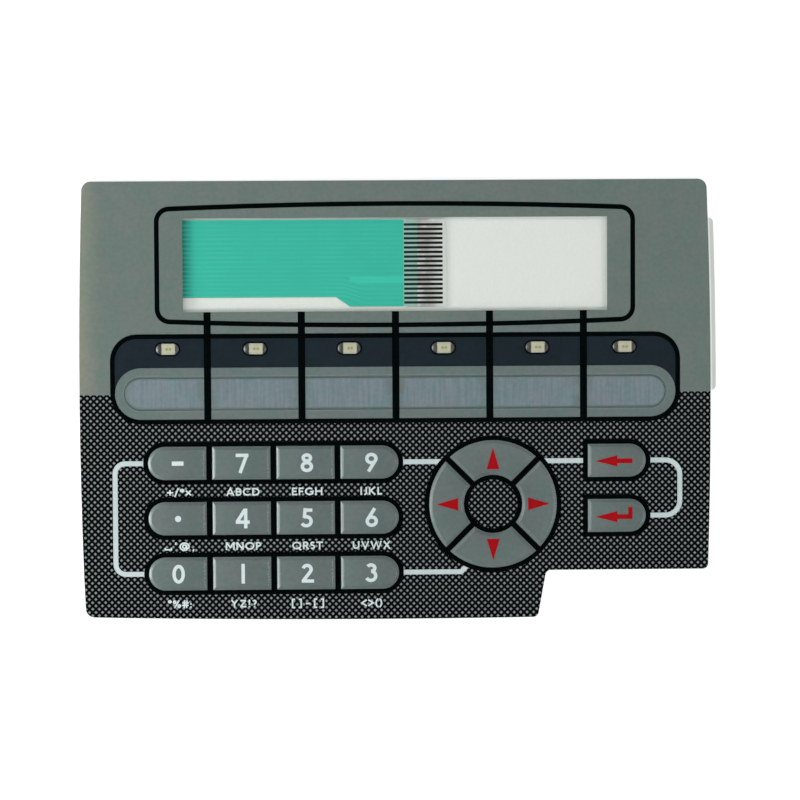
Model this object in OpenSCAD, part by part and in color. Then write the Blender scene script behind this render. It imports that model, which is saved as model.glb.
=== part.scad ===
// Membrane keypad: a clear embossed face film, printed on its back, over adhesive sheets, snap domes and a
// circuit sheet with its tail, on a release liner.
// Millimetres. The origin is the middle of the back, +X runs along the width and +Z out of the face.
// Heights down the face are given as drops from the panel's top edge.

/* [Panel] */
// Widest width of the panel
panel_w = 138; // [136:0.5:160]
// Height of the panel at mid width
panel_h = 96; // [95:0.5:110]
// How far the left and right edges bow out at mid height
side_bow = 0.95; // [0:0.05:1.5]
// How far the lower edge bows down at mid width
lower_bow = 0.9; // [0:0.05:1.5]
// Radius of the outer corners
corner_r = 2; // [0.5:0.1:3]
// Width of the cut-away at the lower right, along its top
notch_w = 36.2; // [30:0.2:38]
// Height of the cut-away
notch_h = 10.5; // [6:0.5:12]
// How far the side of the cut-away leans towards the left at the bottom
notch_lean = 1.9; // [0:0.1:4]
// Radius in the corners of the cut-away
notch_r = 1.2; // [0.4:0.1:2]

/* [Layers] */
// Thickness of the release liner
liner_t = 0.1; // [0.08:0.01:0.3]
// Thickness of the mounting adhesive
rear_adhesive_t = 0.15; // [0.05:0.01:0.3]
// Thickness of the circuit sheet
circuit_t = 0.15; // [0.1:0.01:0.25]
// Thickness of the dome spacer
spacer_t = 0.5; // [0.5:0.01:0.9]
// Thickness of the dome retainer
retainer_t = 0.1; // [0.1:0.01:0.2]
// Thickness of the overlay adhesive
overlay_adhesive_t = 0.1; // [0.1:0.01:0.25]
// Thickness of an ink pass behind the film
ink_t = 0.03; // [0.02:0.005:0.05]
// Thickness of the face film
film_t = 0.2; // [0.15:0.01:0.3]
// Thickness of the conductor print and the insulating coat
conductor_t = 0.02; // [0.01:0.005:0.04]
// How far the openings in the inner layers stand back from the printed windows
opening_margin = 0.6; // [0.2:0.1:1]

/* [Display window] */
// Width of the clear window
window_w = 92.6; // [80:0.2:96]
// Height of the clear window
window_h = 20.4; // [20:0.1:21.5]
// Drop from the top edge of the panel to the window
window_drop = 8.1; // [7:0.1:9]
// From the window's side to the outer edge of the frame line
frame_side = 6.15; // [4.5:0.05:8]
// From the window's top and bottom to the outer edge of the frame line, at mid width
frame_rise = 3.55; // [3:0.05:4]
// How far the frame line bows out at mid width
frame_bow = 1.05; // [0:0.05:1.3]
// Outer corner radius of the frame line
frame_r = 3.3; // [2:0.1:5]
// Width of the black lines and of the black border round the keys
outline_w = 1.05; // [0.6:0.05:1.4]

/* [Function band] */
// Width of the band over its outline
band_w = 124.6; // [120:0.2:128]
// Gap from the frame line to the band, at mid width
band_gap = 1.2; // [0.5:0.1:2]
// Height of the dark strip inside its outline
strip_h = 6.35; // [6:0.05:7.5]
// Corner radius at the top of the band
band_r = 5.8; // [3:0.1:6.3]
// Height of the function keys
function_h = 11.25; // [10:0.05:12.5]
// Distance between the divider lines
divider_pitch = 20.54; // [19:0.02:20.6]
// Width of the divider lines
divider_w = 1.57; // [1:0.01:2]
// From the edge of the function row to the middle of its oval groove
groove_inset = 2.15; // [1.5:0.05:3]
// Width of the oval groove
groove_w = 0.9; // [0.5:0.1:1.2]
// Depth of the oval groove
groove_depth = 0.1; // [0.04:0.01:0.12]

/* [Indicator lamps] */
// Width of an indicator window
led_window_w = 4.9; // [4:0.1:5.5]
// Height of an indicator window
led_window_h = 2.4; // [1.8:0.1:2.8]
// Black rim round an indicator window
led_rim = 0.36; // [0.2:0.02:0.6]
// Drop from the top of the dark strip to the middle of the windows
led_drop = 2.25; // [2:0.05:3]
// Height of a raised indicator window above the face
led_rise = 0.36; // [0.15:0.01:0.44]
// Width of the sloping edge of a raised indicator window
led_slope_w = 0.48; // [0.2:0.02:0.8]
// How far the lamps sit to the right of the middle of their windows
led_shift = 0.33; // [0:0.01:0.6]
// How far the lamp windows stand to the right of the middle of their keys
window_shift = 0.13; // [0:0.01:0.5]
// How far the two outermost lamps and domes stand in from the even spacing
outer_shift = 1.45; // [0:0.05:2]
// Length of a lamp body
led_l = 3.2; // [2.6:0.1:3.4]
// Width of a lamp body
led_w = 2.7; // [2:0.1:3]
// Height of a lamp body
led_h = 0.65; // [0.4:0.05:0.65]
// Height of the lamp's base plate
led_base_h = 0.2; // [0.1:0.05:0.3]
// How far the conductor pads show past the lamp's ends
led_pad_out = 0.8; // [0.3:0.1:0.9]

/* [Number keys] */
// Width of a key
key_w = 12.73; // [10:0.01:12.9]
// Height of a key
key_h = 7.24; // [6:0.02:8]
// Distance between columns
key_pitch_x = 14; // [13.2:0.05:14.2]
// Distance between rows
key_pitch_y = 12.12; // [11.5:0.02:12.4]
// From the panel's middle to the middle of the first column
first_column = 47.89; // [46:0.01:49]
// Drop from the top edge to the middle of the first row
first_row_drop = 61.49; // [60.5:0.01:62]
// Height of the raised keys above the face
emboss_h = 0.45; // [0.2:0.05:0.7]
// Width of the sloping edge of a raised key
bevel_w = 0.6; // [0.3:0.05:0.9]
// Flat printed margin round a raised key
emboss_inset = 0.12; // [0.06:0.02:0.3]

/* [Arrow and command keys] */
// From the panel's middle to the middle of the arrow ring
ring_x = 21.15; // [20:0.05:22]
// Drop from the top edge to the middle of the arrow ring
ring_drop = 70.88; // [69.5:0.02:71.5]
// Outer radius of the arrow keys
ring_r = 14; // [12:0.1:14.2]
// Radius of the hole in the arrow ring
ring_hole_r = 6.4; // [5:0.1:7]
// Gap between the arrow keys
ring_gap = 1.27; // [0.8:0.01:2]
// From the panel's middle to the middle of the command keys
command_x = 48.35; // [47.5:0.05:50]

/* [White lines] */
// Width of the white lines
white_w = 1.08; // [0.6:0.02:1.4]
// From the panel's middle to the middle of the left bracket
left_bracket_x = 61.45; // [59:0.05:64]
// Outer corner radius of the left bracket
left_bracket_r = 2.75; // [1.5:0.05:4]
// From the panel's middle to the middle of the right bracket
right_bracket_x = 62.2; // [60:0.05:64]
// Outer corner radius of the right bracket
right_bracket_r = 3.7; // [1.5:0.1:5]
// Where the lower line turns up to the ring, from the panel's middle
lower_line_end = 14.1; // [12:0.1:15]

/* [Dotted field] */
// Drop from the top edge to the start of the dotted field
hatch_drop = 46.47; // [44:0.01:50]

/* [Snap domes] */
// Diameter of a dome
dome_d = 6; // [5:0.1:6.2]
// Height of a dome
dome_h = 0.42; // [0.25:0.01:0.44]
// Thickness of a dome
dome_t = 0.06; // [0.04:0.01:0.1]
// Gap round a dome in its spacer hole
dome_gap = 0.5; // [0.3:0.05:0.7]
// Width of the contact ring under a dome's edge
contact_ring_w = 0.9; // [0.6:0.1:1.2]
// Diameter of the contact under a dome's middle
contact_centre_d = 1.8; // [1:0.1:2.5]

/* [Tail] */
// Number of contacts
contact_count = 18; // [10:1:18]
// Distance between contacts
contact_pitch = 1; // [0.8:0.02:1]
// Width of a contact
contact_w = 0.55; // [0.35:0.01:0.6]
// Length of a contact
contact_l = 8.45; // [6:0.05:10]
// From the end of the tail to the contacts
contact_setback = 0.66; // [0.3:0.02:1]
// From the middle of the first contact to the tail's upper edge
tail_margin = 1.3; // [0.8:0.05:1.6]
// From the middle of the last contact to the tail's lower edge
tail_margin_low = 1; // [0.8:0.05:1.2]
// From the window's left side to the end of the tail
tail_l = 57.35; // [45:0.05:75]
// Drop from the window's top to the tail
tail_drop = 0.25; // [0.1:0.05:0.9]
// How much narrower the tail is before it widens to the contacts
tail_step = 2.1; // [0:0.1:3]
// From the end of the tail to where it starts to narrow
tail_wide_l = 20.9; // [13:0.1:25]
// Length over which the tail narrows
tail_taper_l = 3.1; // [1:0.1:6]
// Margin of bare sheet round the insulating coat
insulation_inset = 0.15; // [0.05:0.05:0.4]
// How far the insulating coat reaches up between the contacts
insulation_lap = 2.9; // [1:0.1:5]

/* [Liner tab] */
// How far the liner's peel edge stands out past the panel
tab_out = 1.3; // [0.3:0.1:8]
// Drop from the top edge to the peel edge
tab_drop = 8.45; // [5:0.05:20]
// Length of the peel edge
tab_l = 37.8; // [15:0.1:50]
// Radius of its two outer corners
tab_r = 1.1; // [0.3:0.1:2]

/* [Hidden] */
$fn = 72;
curve_steps = 10;
corner_steps = 8;
columns = 4;
rows = 3;
function_keys = 6;
cut = 1;

// Layers, from the back
rear_z = liner_t;
circuit_z = rear_z + rear_adhesive_t;
board_z = circuit_z + circuit_t;
retainer_z = board_z + spacer_t;
adhesive_z = retainer_z + retainer_t;
ink_z = adhesive_z + overlay_adhesive_t;
film_z = ink_z + ink_t;
face_z = film_z + film_t;

// Places on the face
top_y = panel_h / 2;
side_x = panel_w / 2;
window_y = top_y - window_drop - window_h / 2;
frame_w = window_w + 2 * frame_side;
frame_h = window_h + 2 * frame_rise;
band_top = window_y - frame_h / 2 - band_gap;
strip_top = band_top - outline_w;
function_top = strip_top - strip_h;
function_w = band_w - 2 * outline_w;
function_r = function_h / 2;
function_y = function_top - function_r;
band_bottom = function_top - function_h - outline_w;
hatch_y = top_y - hatch_drop;
led_y = strip_top - led_drop;
row_1 = top_y - first_row_drop;
row_2 = row_1 - key_pitch_y;
row_3 = row_2 - key_pitch_y;
ring_y = top_y - ring_drop;
rim_r = ring_r + outline_w;
ring_mid = (ring_r + ring_hole_r) / 2;

// Function keys and lamps: six, evenly spaced, with the outermost two moved in
function function_x(i) =
    let (even = (i - (function_keys - 1) / 2) * divider_pitch)
    even - (i == function_keys - 1 ? outer_shift : i == 0 ? -outer_shift : 0);
function window_place(i) = [function_x(i) + window_shift, led_y];
function lamp_place(i) = [function_x(i) + led_shift, led_y];

// Number and command keys: name, middle, and whether the left and right ends are round
number_names = [["minus", "7", "8", "9"], ["point", "4", "5", "6"], ["0", "1", "2", "3"]];
number_keys = [
    for (row = [0:rows - 1], column = [0:columns - 1])
        [number_names[row][column], [-first_column + column * key_pitch_x, row_1 - row * key_pitch_y],
         column == 0, column == columns - 1]
];
command_keys = [["back", [command_x, row_1], false, true], ["enter", [command_x, row_2], false, true]];
raised_keys = concat(number_keys, command_keys);

// Arrow keys: name and the direction that each one points
arrow_keys = [["right", 0], ["up", 90], ["left", 180], ["down", 270]];

// Domes: one under each key
domes = concat(
    [for (i = [0:function_keys - 1]) [str("dome_f", i + 1), [function_x(i), function_y]]],
    [for (key = raised_keys) [str("dome_", key[0]), key[1]]],
    [for (key = arrow_keys)
        [str("dome_", key[0]), [ring_x + ring_mid * cos(key[1]), ring_y + ring_mid * sin(key[1])]]]
);

// Tail, in the window
tail_top = window_y + window_h / 2 - tail_drop;
tail_w = (contact_count - 1) * contact_pitch + tail_margin + tail_margin_low;
tail_root = -window_w / 2 - opening_margin;
tail_end = -window_w / 2 + tail_l;
tail_wide = tail_end - tail_wide_l;
tail_narrow = tail_wide - tail_taper_l;
contact_end = tail_end - contact_setback;
contact_start = contact_end - contact_l;

// Outlines

function unit(v) = v / norm(v);

// Points of the arc that rounds corner b between a and c, or b itself where its radius is 0
function corner(a, b, c) =
    b[2] <= 0 ? [[b[0], b[1]]] :
    let (
        p = [b[0], b[1]],
        to_a = unit([a[0], a[1]] - p),
        to_c = unit([c[0], c[1]] - p),
        half = acos(to_a * to_c) / 2,
        middle = p + unit(to_a + to_c) * b[2] / sin(half),
        from = p + to_a * b[2] / tan(half) - middle,
        start = atan2(from[1], from[0]),
        turn = (to_a[0] * to_c[1] - to_a[1] * to_c[0] < 0 ? 1 : -1) * (180 - 2 * half)
    )
    [for (i = [0:corner_steps])
        middle + b[2] * [cos(start + turn * i / corner_steps), sin(start + turn * i / corner_steps)]];

// A closed outline, anticlockwise, from corners of x, y and radius
function rounded(corners) =
    let (n = len(corners))
    [for (i = [0:n - 1]) each corner(corners[(i + n - 1) % n], corners[i], corners[(i + 1) % n])];

// Points between a and b that bow out to the right of the way from a to b
function bowed(a, b, bow) =
    let (way = [b[0] - a[0], b[1] - a[1]], out = unit([way[1], -way[0]]))
    [for (i = [1:curve_steps - 1])
        let (t = i / curve_steps, p = [a[0], a[1]] + way * t + out * bow * 4 * t * (1 - t))
        [p[0], p[1], 0]];

// The panel: straight top, bowed sides and lower edge, and the cut-away at the lower right
function side_at(y) = side_x - side_bow * pow(y / top_y, 2);
function lower_at(x) = -top_y + lower_bow * pow(x / side_x, 2);

function panel_corners() =
    let (
        shelf = -top_y + notch_h,
        notch_x = side_x - notch_w,
        foot_x = notch_x - notch_lean,
        low_left = [-side_at(top_y), lower_at(side_x), corner_r]
    )
    concat(
        [low_left],
        [for (i = [1:curve_steps - 1])
            let (x = -side_x + (foot_x + side_x) * i / curve_steps) [x, lower_at(x), 0]],
        [[foot_x, lower_at(foot_x), notch_r], [notch_x, shelf, notch_r], [side_at(shelf), shelf, notch_r]],
        [for (i = [1:curve_steps - 1])
            let (y = shelf + (top_y - shelf) * i / curve_steps) [side_at(y), y, 0]],
        [[side_at(top_y), top_y, corner_r], [-side_at(top_y), top_y, corner_r]],
        [for (i = [1:curve_steps - 1])
            let (y = top_y - panel_h * i / curve_steps) [-side_at(y), y, 0]]
    );

module panel_shape() {
    polygon(rounded(panel_corners()));
}

// The part of the panel above or below a height
module panel_part(low, high) {
    intersection() {
        panel_shape();
        translate([-panel_w, low]) square([2 * panel_w, high - low]);
    }
}

module window_shape(margin = 0) {
    translate([0, window_y]) square([window_w + 2 * margin, window_h + 2 * margin], center = true);
}

// The frame line's outline, inset by a width
function frame_corners(inset) =
    let (
        x = frame_w / 2 - inset,
        y = frame_h / 2 - frame_bow - inset,
        r = frame_r - inset,
        a = [-x, window_y - y, r],
        b = [x, window_y - y, r],
        c = [x, window_y + y, r],
        d = [-x, window_y + y, r]
    )
    concat([a], bowed(a, b, frame_bow), [b, c], bowed(c, d, frame_bow), [d]);

module frame_line() {
    difference() {
        polygon(rounded(frame_corners(0)));
        polygon(rounded(frame_corners(outline_w)));
    }
}

// The function band, inset by a width
module band_shape(inset = 0) {
    x = band_w / 2 - inset;
    low_r = function_r + outline_w - inset;
    polygon(rounded([
        [-x, band_bottom + inset, low_r], [x, band_bottom + inset, low_r],
        [x, band_top - inset, band_r - inset], [-x, band_top - inset, band_r - inset]
    ]));
}

// A bar with round ends, along X
module oval(length, height) {
    square([length - height, height], center = true);
    for (end = [-1, 1]) translate([end * (length - height) / 2, 0]) circle(d = height);
}

module function_oval() {
    translate([0, function_y]) oval(function_w, function_h);
}

module dividers() {
    for (i = [1:function_keys - 1])
        translate([(i - function_keys / 2) * divider_pitch - divider_w / 2, band_bottom])
            square([divider_w, window_y - window_h / 2 - band_bottom]);
}

// Indicator windows, grown by a border
module lamp_windows(grow = 0) {
    for (i = [0:function_keys - 1])
        translate(window_place(i)) oval(led_window_w + 2 * grow, led_window_h + 2 * grow);
}

// Openings for the lamps in the inner layers
module lamp_openings() {
    for (i = [0:function_keys - 1])
        translate(window_place(i))
            square([led_window_w + opening_margin + 2 * led_shift, led_w + opening_margin], center = true);
}

// A key's printed outline, grown by a border
module key_shape(key, grow = 0) {
    radius = key_h / 2 + grow;
    left = -key_w / 2 + (key[2] ? key_h / 2 : -grow);
    right = key_w / 2 - (key[3] ? key_h / 2 : -grow);
    translate(key[1]) {
        translate([left, -radius]) square([right - left, 2 * radius]);
        if (key[2]) translate([left, 0]) circle(radius);
        if (key[3]) translate([right, 0]) circle(radius);
    }
}

// The black borders: one round each row of number keys, and one round each command key
module key_borders() {
    length = key_w + (columns - 1) * key_pitch_x;
    for (row = [0:rows - 1])
        translate([-first_column - key_w / 2 + length / 2, row_1 - row * key_pitch_y])
            oval(length + 2 * outline_w, key_h + 2 * outline_w);
    for (key = command_keys) key_shape(key, outline_w);
}

module ring_disc(radius) {
    translate([ring_x, ring_y]) circle(radius);
}

// The arrow keys' printed outline
module arrow_shapes() {
    difference() {
        ring_disc(ring_r);
        ring_disc(ring_hole_r);
        translate([ring_x, ring_y])
            for (angle = [45, 135]) rotate(angle) square([3 * ring_r, ring_gap], center = true);
    }
}

// Half of a rounded frame of white line, open towards the keys
module bracket(x, top, bottom, radius, reach) {
    side = sign(x);
    far = x + side * white_w / 2;
    near = x - side * reach;
    low = bottom - white_w / 2;
    high = top + white_w / 2;
    inner = radius - white_w;
    difference() {
        polygon(rounded(side > 0 ?
            [[near, low, 0], [far, low, radius], [far, high, radius], [near, high, 0]] :
            [[far, low, radius], [near, low, 0], [near, high, 0], [far, high, radius]]));
        polygon(rounded(side > 0 ?
            [[near - cut, low + white_w, 0], [far - white_w, low + white_w, inner],
             [far - white_w, high - white_w, inner], [near - cut, high - white_w, 0]] :
            [[far + white_w, low + white_w, inner], [near + cut, low + white_w, 0],
             [near + cut, high - white_w, 0], [far + white_w, high - white_w, inner]]));
    }
}

module white_lines() {
    left_reach = left_bracket_x - first_column - key_w / 2 + key_h / 2;
    right_reach = right_bracket_x - command_x - key_w / 2 + key_h / 2;
    difference() {
        union() {
            bracket(-left_bracket_x, row_1, row_3, left_bracket_r, left_reach);
            bracket(right_bracket_x, row_1, row_2, right_bracket_r, right_reach);
            translate([0, row_1 - white_w / 2])
                square([command_x, white_w]);
            translate([0, row_3 - white_w / 2]) square([lower_line_end, white_w]);
            translate([lower_line_end, row_3]) {
                circle(d = white_w);
                rotate(45) translate([0, -white_w / 2]) square([ring_hole_r, white_w]);
            }
        }
        key_borders();
        ring_disc(rim_r);
    }
}

// Raised keys and windows

// A raised block with sloping sides and flat or round ends, for a film whose flat surface is at z. It starts a
// depth below that surface and rises above it, its sides drawn in by the bevel
module raised_block(size, round_left, round_right, rise, bevel, z, depth) {
    end = size[0] / 2;
    half = size[1] / 2;
    foot = bevel / rise * depth;
    left = round_left ? -end + half : -end;
    right = round_right ? end - half : end;
    span = size[0] + size[1];
    translate([0, 0, z]) {
        intersection() {
            translate([-span / 2, 0, 0]) rotate([90, 0, 90]) linear_extrude(span)
                polygon([[-half - foot, -depth], [half + foot, -depth],
                         [half - bevel, rise], [-half + bevel, rise]]);
            translate([0, span / 2, 0]) rotate([90, 0, 0]) linear_extrude(span)
                polygon([[left - (round_left ? 0 : foot), -depth], [right + (round_right ? 0 : foot), -depth],
                         [right - (round_right ? 0 : bevel), rise],
                         [left + (round_left ? 0 : bevel), rise]]);
        }
        if (round_left) translate([left, 0, 0]) rotate([0, 0, 90]) round_end(half, rise, bevel, depth);
        if (round_right) translate([right, 0, 0]) rotate([0, 0, -90]) round_end(half, rise, bevel, depth);
    }
}

// Half a cone for the round end of a raised block
module round_end(half, rise, bevel, depth) {
    rotate_extrude(angle = 180)
        polygon([[0, -depth], [half + bevel / rise * depth, -depth], [half - bevel, rise], [0, rise]]);
}

// One arrow key's raised block: a ring with sloping sides between two sloping planes
module arrow_block(angle, z, depth) {
    foot = bevel_w / emboss_h * depth;
    outer = ring_r - emboss_inset;
    inner = ring_hole_r + emboss_inset;
    edge = ring_gap / 2 + emboss_inset;
    translate([ring_x, ring_y, z]) rotate([0, 0, angle]) intersection() {
        rotate_extrude()
            polygon([[inner - foot, -depth], [outer + foot, -depth],
                     [outer - bevel_w, emboss_h], [inner + bevel_w, emboss_h]]);
        rotate([0, 0, 45]) half_space(edge, depth);
        rotate([0, 0, -45]) half_space(edge, depth);
    }
}

// Everything past a sloping plane that faces -X
module half_space(edge, depth) {
    far = 2 * ring_r;
    translate([0, far, 0]) rotate([90, 0, 0]) linear_extrude(2 * far)
        polygon([[edge - bevel_w / emboss_h * depth, -depth], [far, -depth],
                 [far, emboss_h], [edge + bevel_w, emboss_h]]);
}

module key_blocks(z, depth) {
    size = [key_w - 2 * emboss_inset, key_h - 2 * emboss_inset];
    for (key = raised_keys)
        translate(key[1]) raised_block(size, key[2], key[3], emboss_h, bevel_w, z, depth);
    for (key = arrow_keys) arrow_block(key[1], z, depth);
}

module lamp_blocks(z, depth) {
    for (i = [0:function_keys - 1])
        translate(window_place(i))
            raised_block([led_window_w, led_window_h], true, true, led_rise, led_slope_w, z, depth);
}

// The oval groove pressed into the film round the function keys
module function_groove() {
    radius = function_r - groove_inset;
    reach = (function_w - function_h) / 2;
    above = 0.5;
    side = groove_w / 2 * (1 + above);
    high = groove_depth * above;
    translate([0, function_y, face_z]) {
        for (end = [0, 180]) rotate([0, 0, end]) {
            translate([reach, 0, 0]) rotate([0, 0, -90]) rotate_extrude(angle = 180)
                translate([radius, 0]) groove_section(side, high);
            translate([-reach, radius, 0]) rotate([90, 0, 90]) linear_extrude(2 * reach)
                groove_section(side, high);
        }
    }
}

module groove_section(side, high) {
    polygon([[-side, high], [0, -groove_depth], [side, high]]);
}

// Film and print

module sheet(z, thickness) {
    translate([0, 0, z]) linear_extrude(thickness) children();
}

module overlay_film() {
    color("Gainsboro", 0.4) difference() {
        union() {
            sheet(film_z, film_t) panel_shape();
            key_blocks(face_z, film_t / 2);
            lamp_blocks(face_z, film_t / 2);
        }
        key_blocks(film_z, cut);
        lamp_blocks(film_z, cut);
        function_groove();
    }
}

module print_panel_grey() {
    color([0.43, 0.47, 0.45]) sheet(ink_z, ink_t) difference() {
        panel_part(hatch_y, top_y + cut);
        band_shape();
        frame_line();
        window_shape();
        dividers();
    }
}

module print_key_grey() {
    color([0.41, 0.45, 0.44]) difference() {
        union() {
            sheet(ink_z, ink_t) {
                for (key = raised_keys) key_shape(key);
                arrow_shapes();
            }
            key_blocks(film_z, ink_t / 2);
        }
        key_blocks(ink_z, cut);
    }
}

module print_function_grey() {
    color([0.46, 0.51, 0.52]) sheet(ink_z, ink_t) difference() {
        function_oval();
        dividers();
    }
}

// The dark strip ends where the round of the function row has drawn clear of the band's side
module print_strip() {
    color([0.14, 0.18, 0.2]) sheet(ink_z, ink_t) strip_shape();
}

module strip_shape() {
    low = function_y + function_r / 4;
    difference() {
        intersection() {
            band_shape(outline_w);
            translate([-band_w / 2, low]) square([band_w, band_top - low]);
        }
        function_oval();
        dividers();
        lamp_windows(led_rim);
    }
}

module print_black() {
    color([0.04, 0.06, 0.07]) sheet(ink_z, ink_t) difference() {
        union() {
            frame_line();
            dividers();
            band_shape();
            key_borders();
            ring_disc(rim_r);
        }
        difference() {
            function_oval();
            dividers();
        }
        strip_shape();
        lamp_windows();
        for (key = raised_keys) key_shape(key);
        arrow_shapes();
        ring_disc(ring_hole_r - outline_w);
    }
}

module print_hatch() {
    color([0.2, 0.22, 0.22]) sheet(ink_z, ink_t) {
        difference() {
            panel_part(-top_y - cut, hatch_y);
            band_shape();
            key_borders();
            ring_disc(rim_r);
            white_lines();
        }
        ring_disc(ring_hole_r - outline_w);
    }
}

module print_white() {
    color([0.8, 0.84, 0.84]) sheet(ink_z, ink_t) white_lines();
}

// Inner layers

module overlay_adhesive() {
    color("WhiteSmoke") sheet(adhesive_z, overlay_adhesive_t) difference() {
        panel_shape();
        window_shape(opening_margin);
        lamp_openings();
        for (key = raised_keys) key_shape(key);
        arrow_shapes();
        for (i = [0:function_keys - 1])
            translate([function_x(i), function_y]) circle(d = dome_d + 2 * dome_gap);
    }
}

module dome_retainer() {
    color("LightSteelBlue") sheet(retainer_z, retainer_t) difference() {
        panel_shape();
        window_shape(opening_margin);
        lamp_openings();
    }
}

module dome_spacer() {
    color("AliceBlue") sheet(board_z, spacer_t) difference() {
        panel_shape();
        window_shape(opening_margin);
        lamp_openings();
        for (dome = domes) translate(dome[1]) circle(d = dome_d + 2 * dome_gap);
    }
}

// A snap dome: a thin cap of steel that stands on its edge
module dome(place) {
    radius = (pow(dome_d / 2, 2) + pow(dome_h, 2)) / (2 * dome_h);
    spread = asin(dome_d / 2 / radius);
    inner = radius - dome_t;
    base = radius * cos(spread);
    inner_spread = acos(base / inner);
    color("Silver") translate([place[0], place[1], board_z + conductor_t - base]) rotate_extrude()
        polygon(concat(
            [for (i = [0:curve_steps])
                radius * [sin(spread * i / curve_steps), cos(spread * i / curve_steps)]],
            [for (i = [curve_steps:-1:0])
                inner * [sin(inner_spread * i / curve_steps), cos(inner_spread * i / curve_steps)]]
        ));
}

// Circuit sheet and tail

// The tail's outline, inset by a margin, from one X to another
module tail_shape(inset, from, to) {
    top = tail_top - inset;
    low = tail_top - tail_w + inset;
    step = low + tail_step;
    polygon([[from, step], [tail_narrow, step], [tail_wide, low], [to, low], [to, top], [from, top]]);
}

module circuit_sheet() {
    color([0.86, 0.89, 0.86]) sheet(circuit_z, circuit_t) {
        difference() {
            panel_shape();
            window_shape(opening_margin);
        }
        tail_shape(0, tail_root - opening_margin, tail_end);
    }
}

module contact_shapes() {
    for (i = [0:contact_count - 1])
        translate([contact_start, tail_top - tail_margin - i * contact_pitch - contact_w / 2])
            square([contact_l, contact_w]);
}

module tail_insulation() {
    color([0.24, 0.71, 0.63]) sheet(board_z, conductor_t) difference() {
        tail_shape(insulation_inset, tail_root, contact_start + insulation_lap);
        contact_shapes();
    }
}

module tail_contacts() {
    color([0.07, 0.08, 0.08]) sheet(board_z, conductor_t) contact_shapes();
}

// Silver print: a ring and a middle contact under each dome, and two pads under each lamp
module conductor_print() {
    color("LightGray") sheet(board_z, conductor_t) {
        for (dome = domes) translate(dome[1]) {
            difference() {
                circle(d = dome_d + dome_gap);
                circle(d = dome_d + dome_gap - 2 * contact_ring_w);
            }
            circle(d = contact_centre_d);
        }
        for (i = [0:function_keys - 1], end = [-1, 1])
            translate(lamp_place(i) + [end * (led_l / 2 + led_pad_out / 4), 0])
                square([led_pad_out * 1.5, led_w], center = true);
    }
}

// A chip lamp: a base plate with a half-round solder notch at each end, and a moulded lens with sloping ends
module led(place) {
    notch_d = led_w / 3;
    lens_foot = led_l - led_base_h;
    lens_top = led_l - 2 * led_base_h;
    color([0.9, 0.87, 0.7]) translate([place[0], place[1], board_z + conductor_t]) {
        difference() {
            translate([-led_l / 2, -led_w / 2, 0]) cube([led_l, led_w, led_base_h]);
            for (end = [-1, 1]) translate([end * led_l / 2, 0, -cut]) cylinder(d = notch_d, h = 2 * cut);
        }
        translate([0, led_w / 2, 0]) rotate([90, 0, 0]) linear_extrude(led_w)
            polygon([[-lens_foot / 2, led_base_h], [lens_foot / 2, led_base_h],
                     [lens_top / 2, led_h], [-lens_top / 2, led_h]]);
    }
}

// Back

module rear_adhesive() {
    color("Ivory") sheet(rear_z, rear_adhesive_t) difference() {
        panel_shape();
        window_shape(opening_margin);
    }
}

// The peel edge: it follows the panel's bowed side from inside it, and is round at its two outer corners
module tab_shape() {
    high = top_y - tab_drop;
    low = high - tab_l;
    polygon(rounded(concat(
        [[side_x / 2, low, 0], [side_at(low) + tab_out, low, tab_r]],
        [for (i = [1:curve_steps - 1])
            let (y = low + tab_l * i / curve_steps) [side_at(y) + tab_out, y, 0]],
        [[side_at(high) + tab_out, high, tab_r], [side_x / 2, high, 0]]
    )));
}

module release_liner() {
    color("White") sheet(0, liner_t) {
        panel_shape();
        tab_shape();
    }
}

overlay_film();
print_panel_grey();
print_key_grey();
print_function_grey();
print_black();
print_hatch();
print_strip();
print_white();
overlay_adhesive();
dome_retainer();
dome_spacer();
circuit_sheet();
conductor_print();
tail_insulation();
tail_contacts();
rear_adhesive();
release_liner();
for (i = [0:function_keys - 1])
    led(lamp_place(i));
for (entry = domes)
    dome(entry[1]);
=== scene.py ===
"""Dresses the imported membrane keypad: inks, film, legends, lamps and tail, and the stage it is seen on.

Laid out as an add-on: settings, one operator for each group of pieces, and a panel in the sidebar that
lists them.
"""

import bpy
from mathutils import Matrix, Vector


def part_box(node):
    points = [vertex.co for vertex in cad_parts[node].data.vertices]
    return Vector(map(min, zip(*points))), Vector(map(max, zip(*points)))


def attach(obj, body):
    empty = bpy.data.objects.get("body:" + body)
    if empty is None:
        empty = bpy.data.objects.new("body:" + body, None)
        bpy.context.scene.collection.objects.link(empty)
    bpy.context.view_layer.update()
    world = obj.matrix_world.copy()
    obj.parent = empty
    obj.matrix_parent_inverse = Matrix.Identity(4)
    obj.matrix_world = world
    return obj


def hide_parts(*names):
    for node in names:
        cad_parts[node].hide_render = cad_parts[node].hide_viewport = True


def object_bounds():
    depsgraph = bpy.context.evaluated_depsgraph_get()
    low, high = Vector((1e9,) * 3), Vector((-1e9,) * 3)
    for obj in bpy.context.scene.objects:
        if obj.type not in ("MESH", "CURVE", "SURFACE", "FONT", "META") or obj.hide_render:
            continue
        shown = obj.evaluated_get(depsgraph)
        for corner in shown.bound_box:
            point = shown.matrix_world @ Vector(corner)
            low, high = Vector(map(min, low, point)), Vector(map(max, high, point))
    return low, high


bl_info = {
    "name": "Membrane Keypad",
    "version": (1, 0, 0),
    "blender": (4, 5, 0),
    "location": "View3D > Sidebar > Keypad",
    "description": "Inks, film, legends, lamps and tail of a membrane keypad on its packed frame",
    "category": "Object",
}

import bpy
import numpy as np
from bpy.props import FloatProperty, FloatVectorProperty, IntProperty, PointerProperty
from mathutils import Matrix

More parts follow.
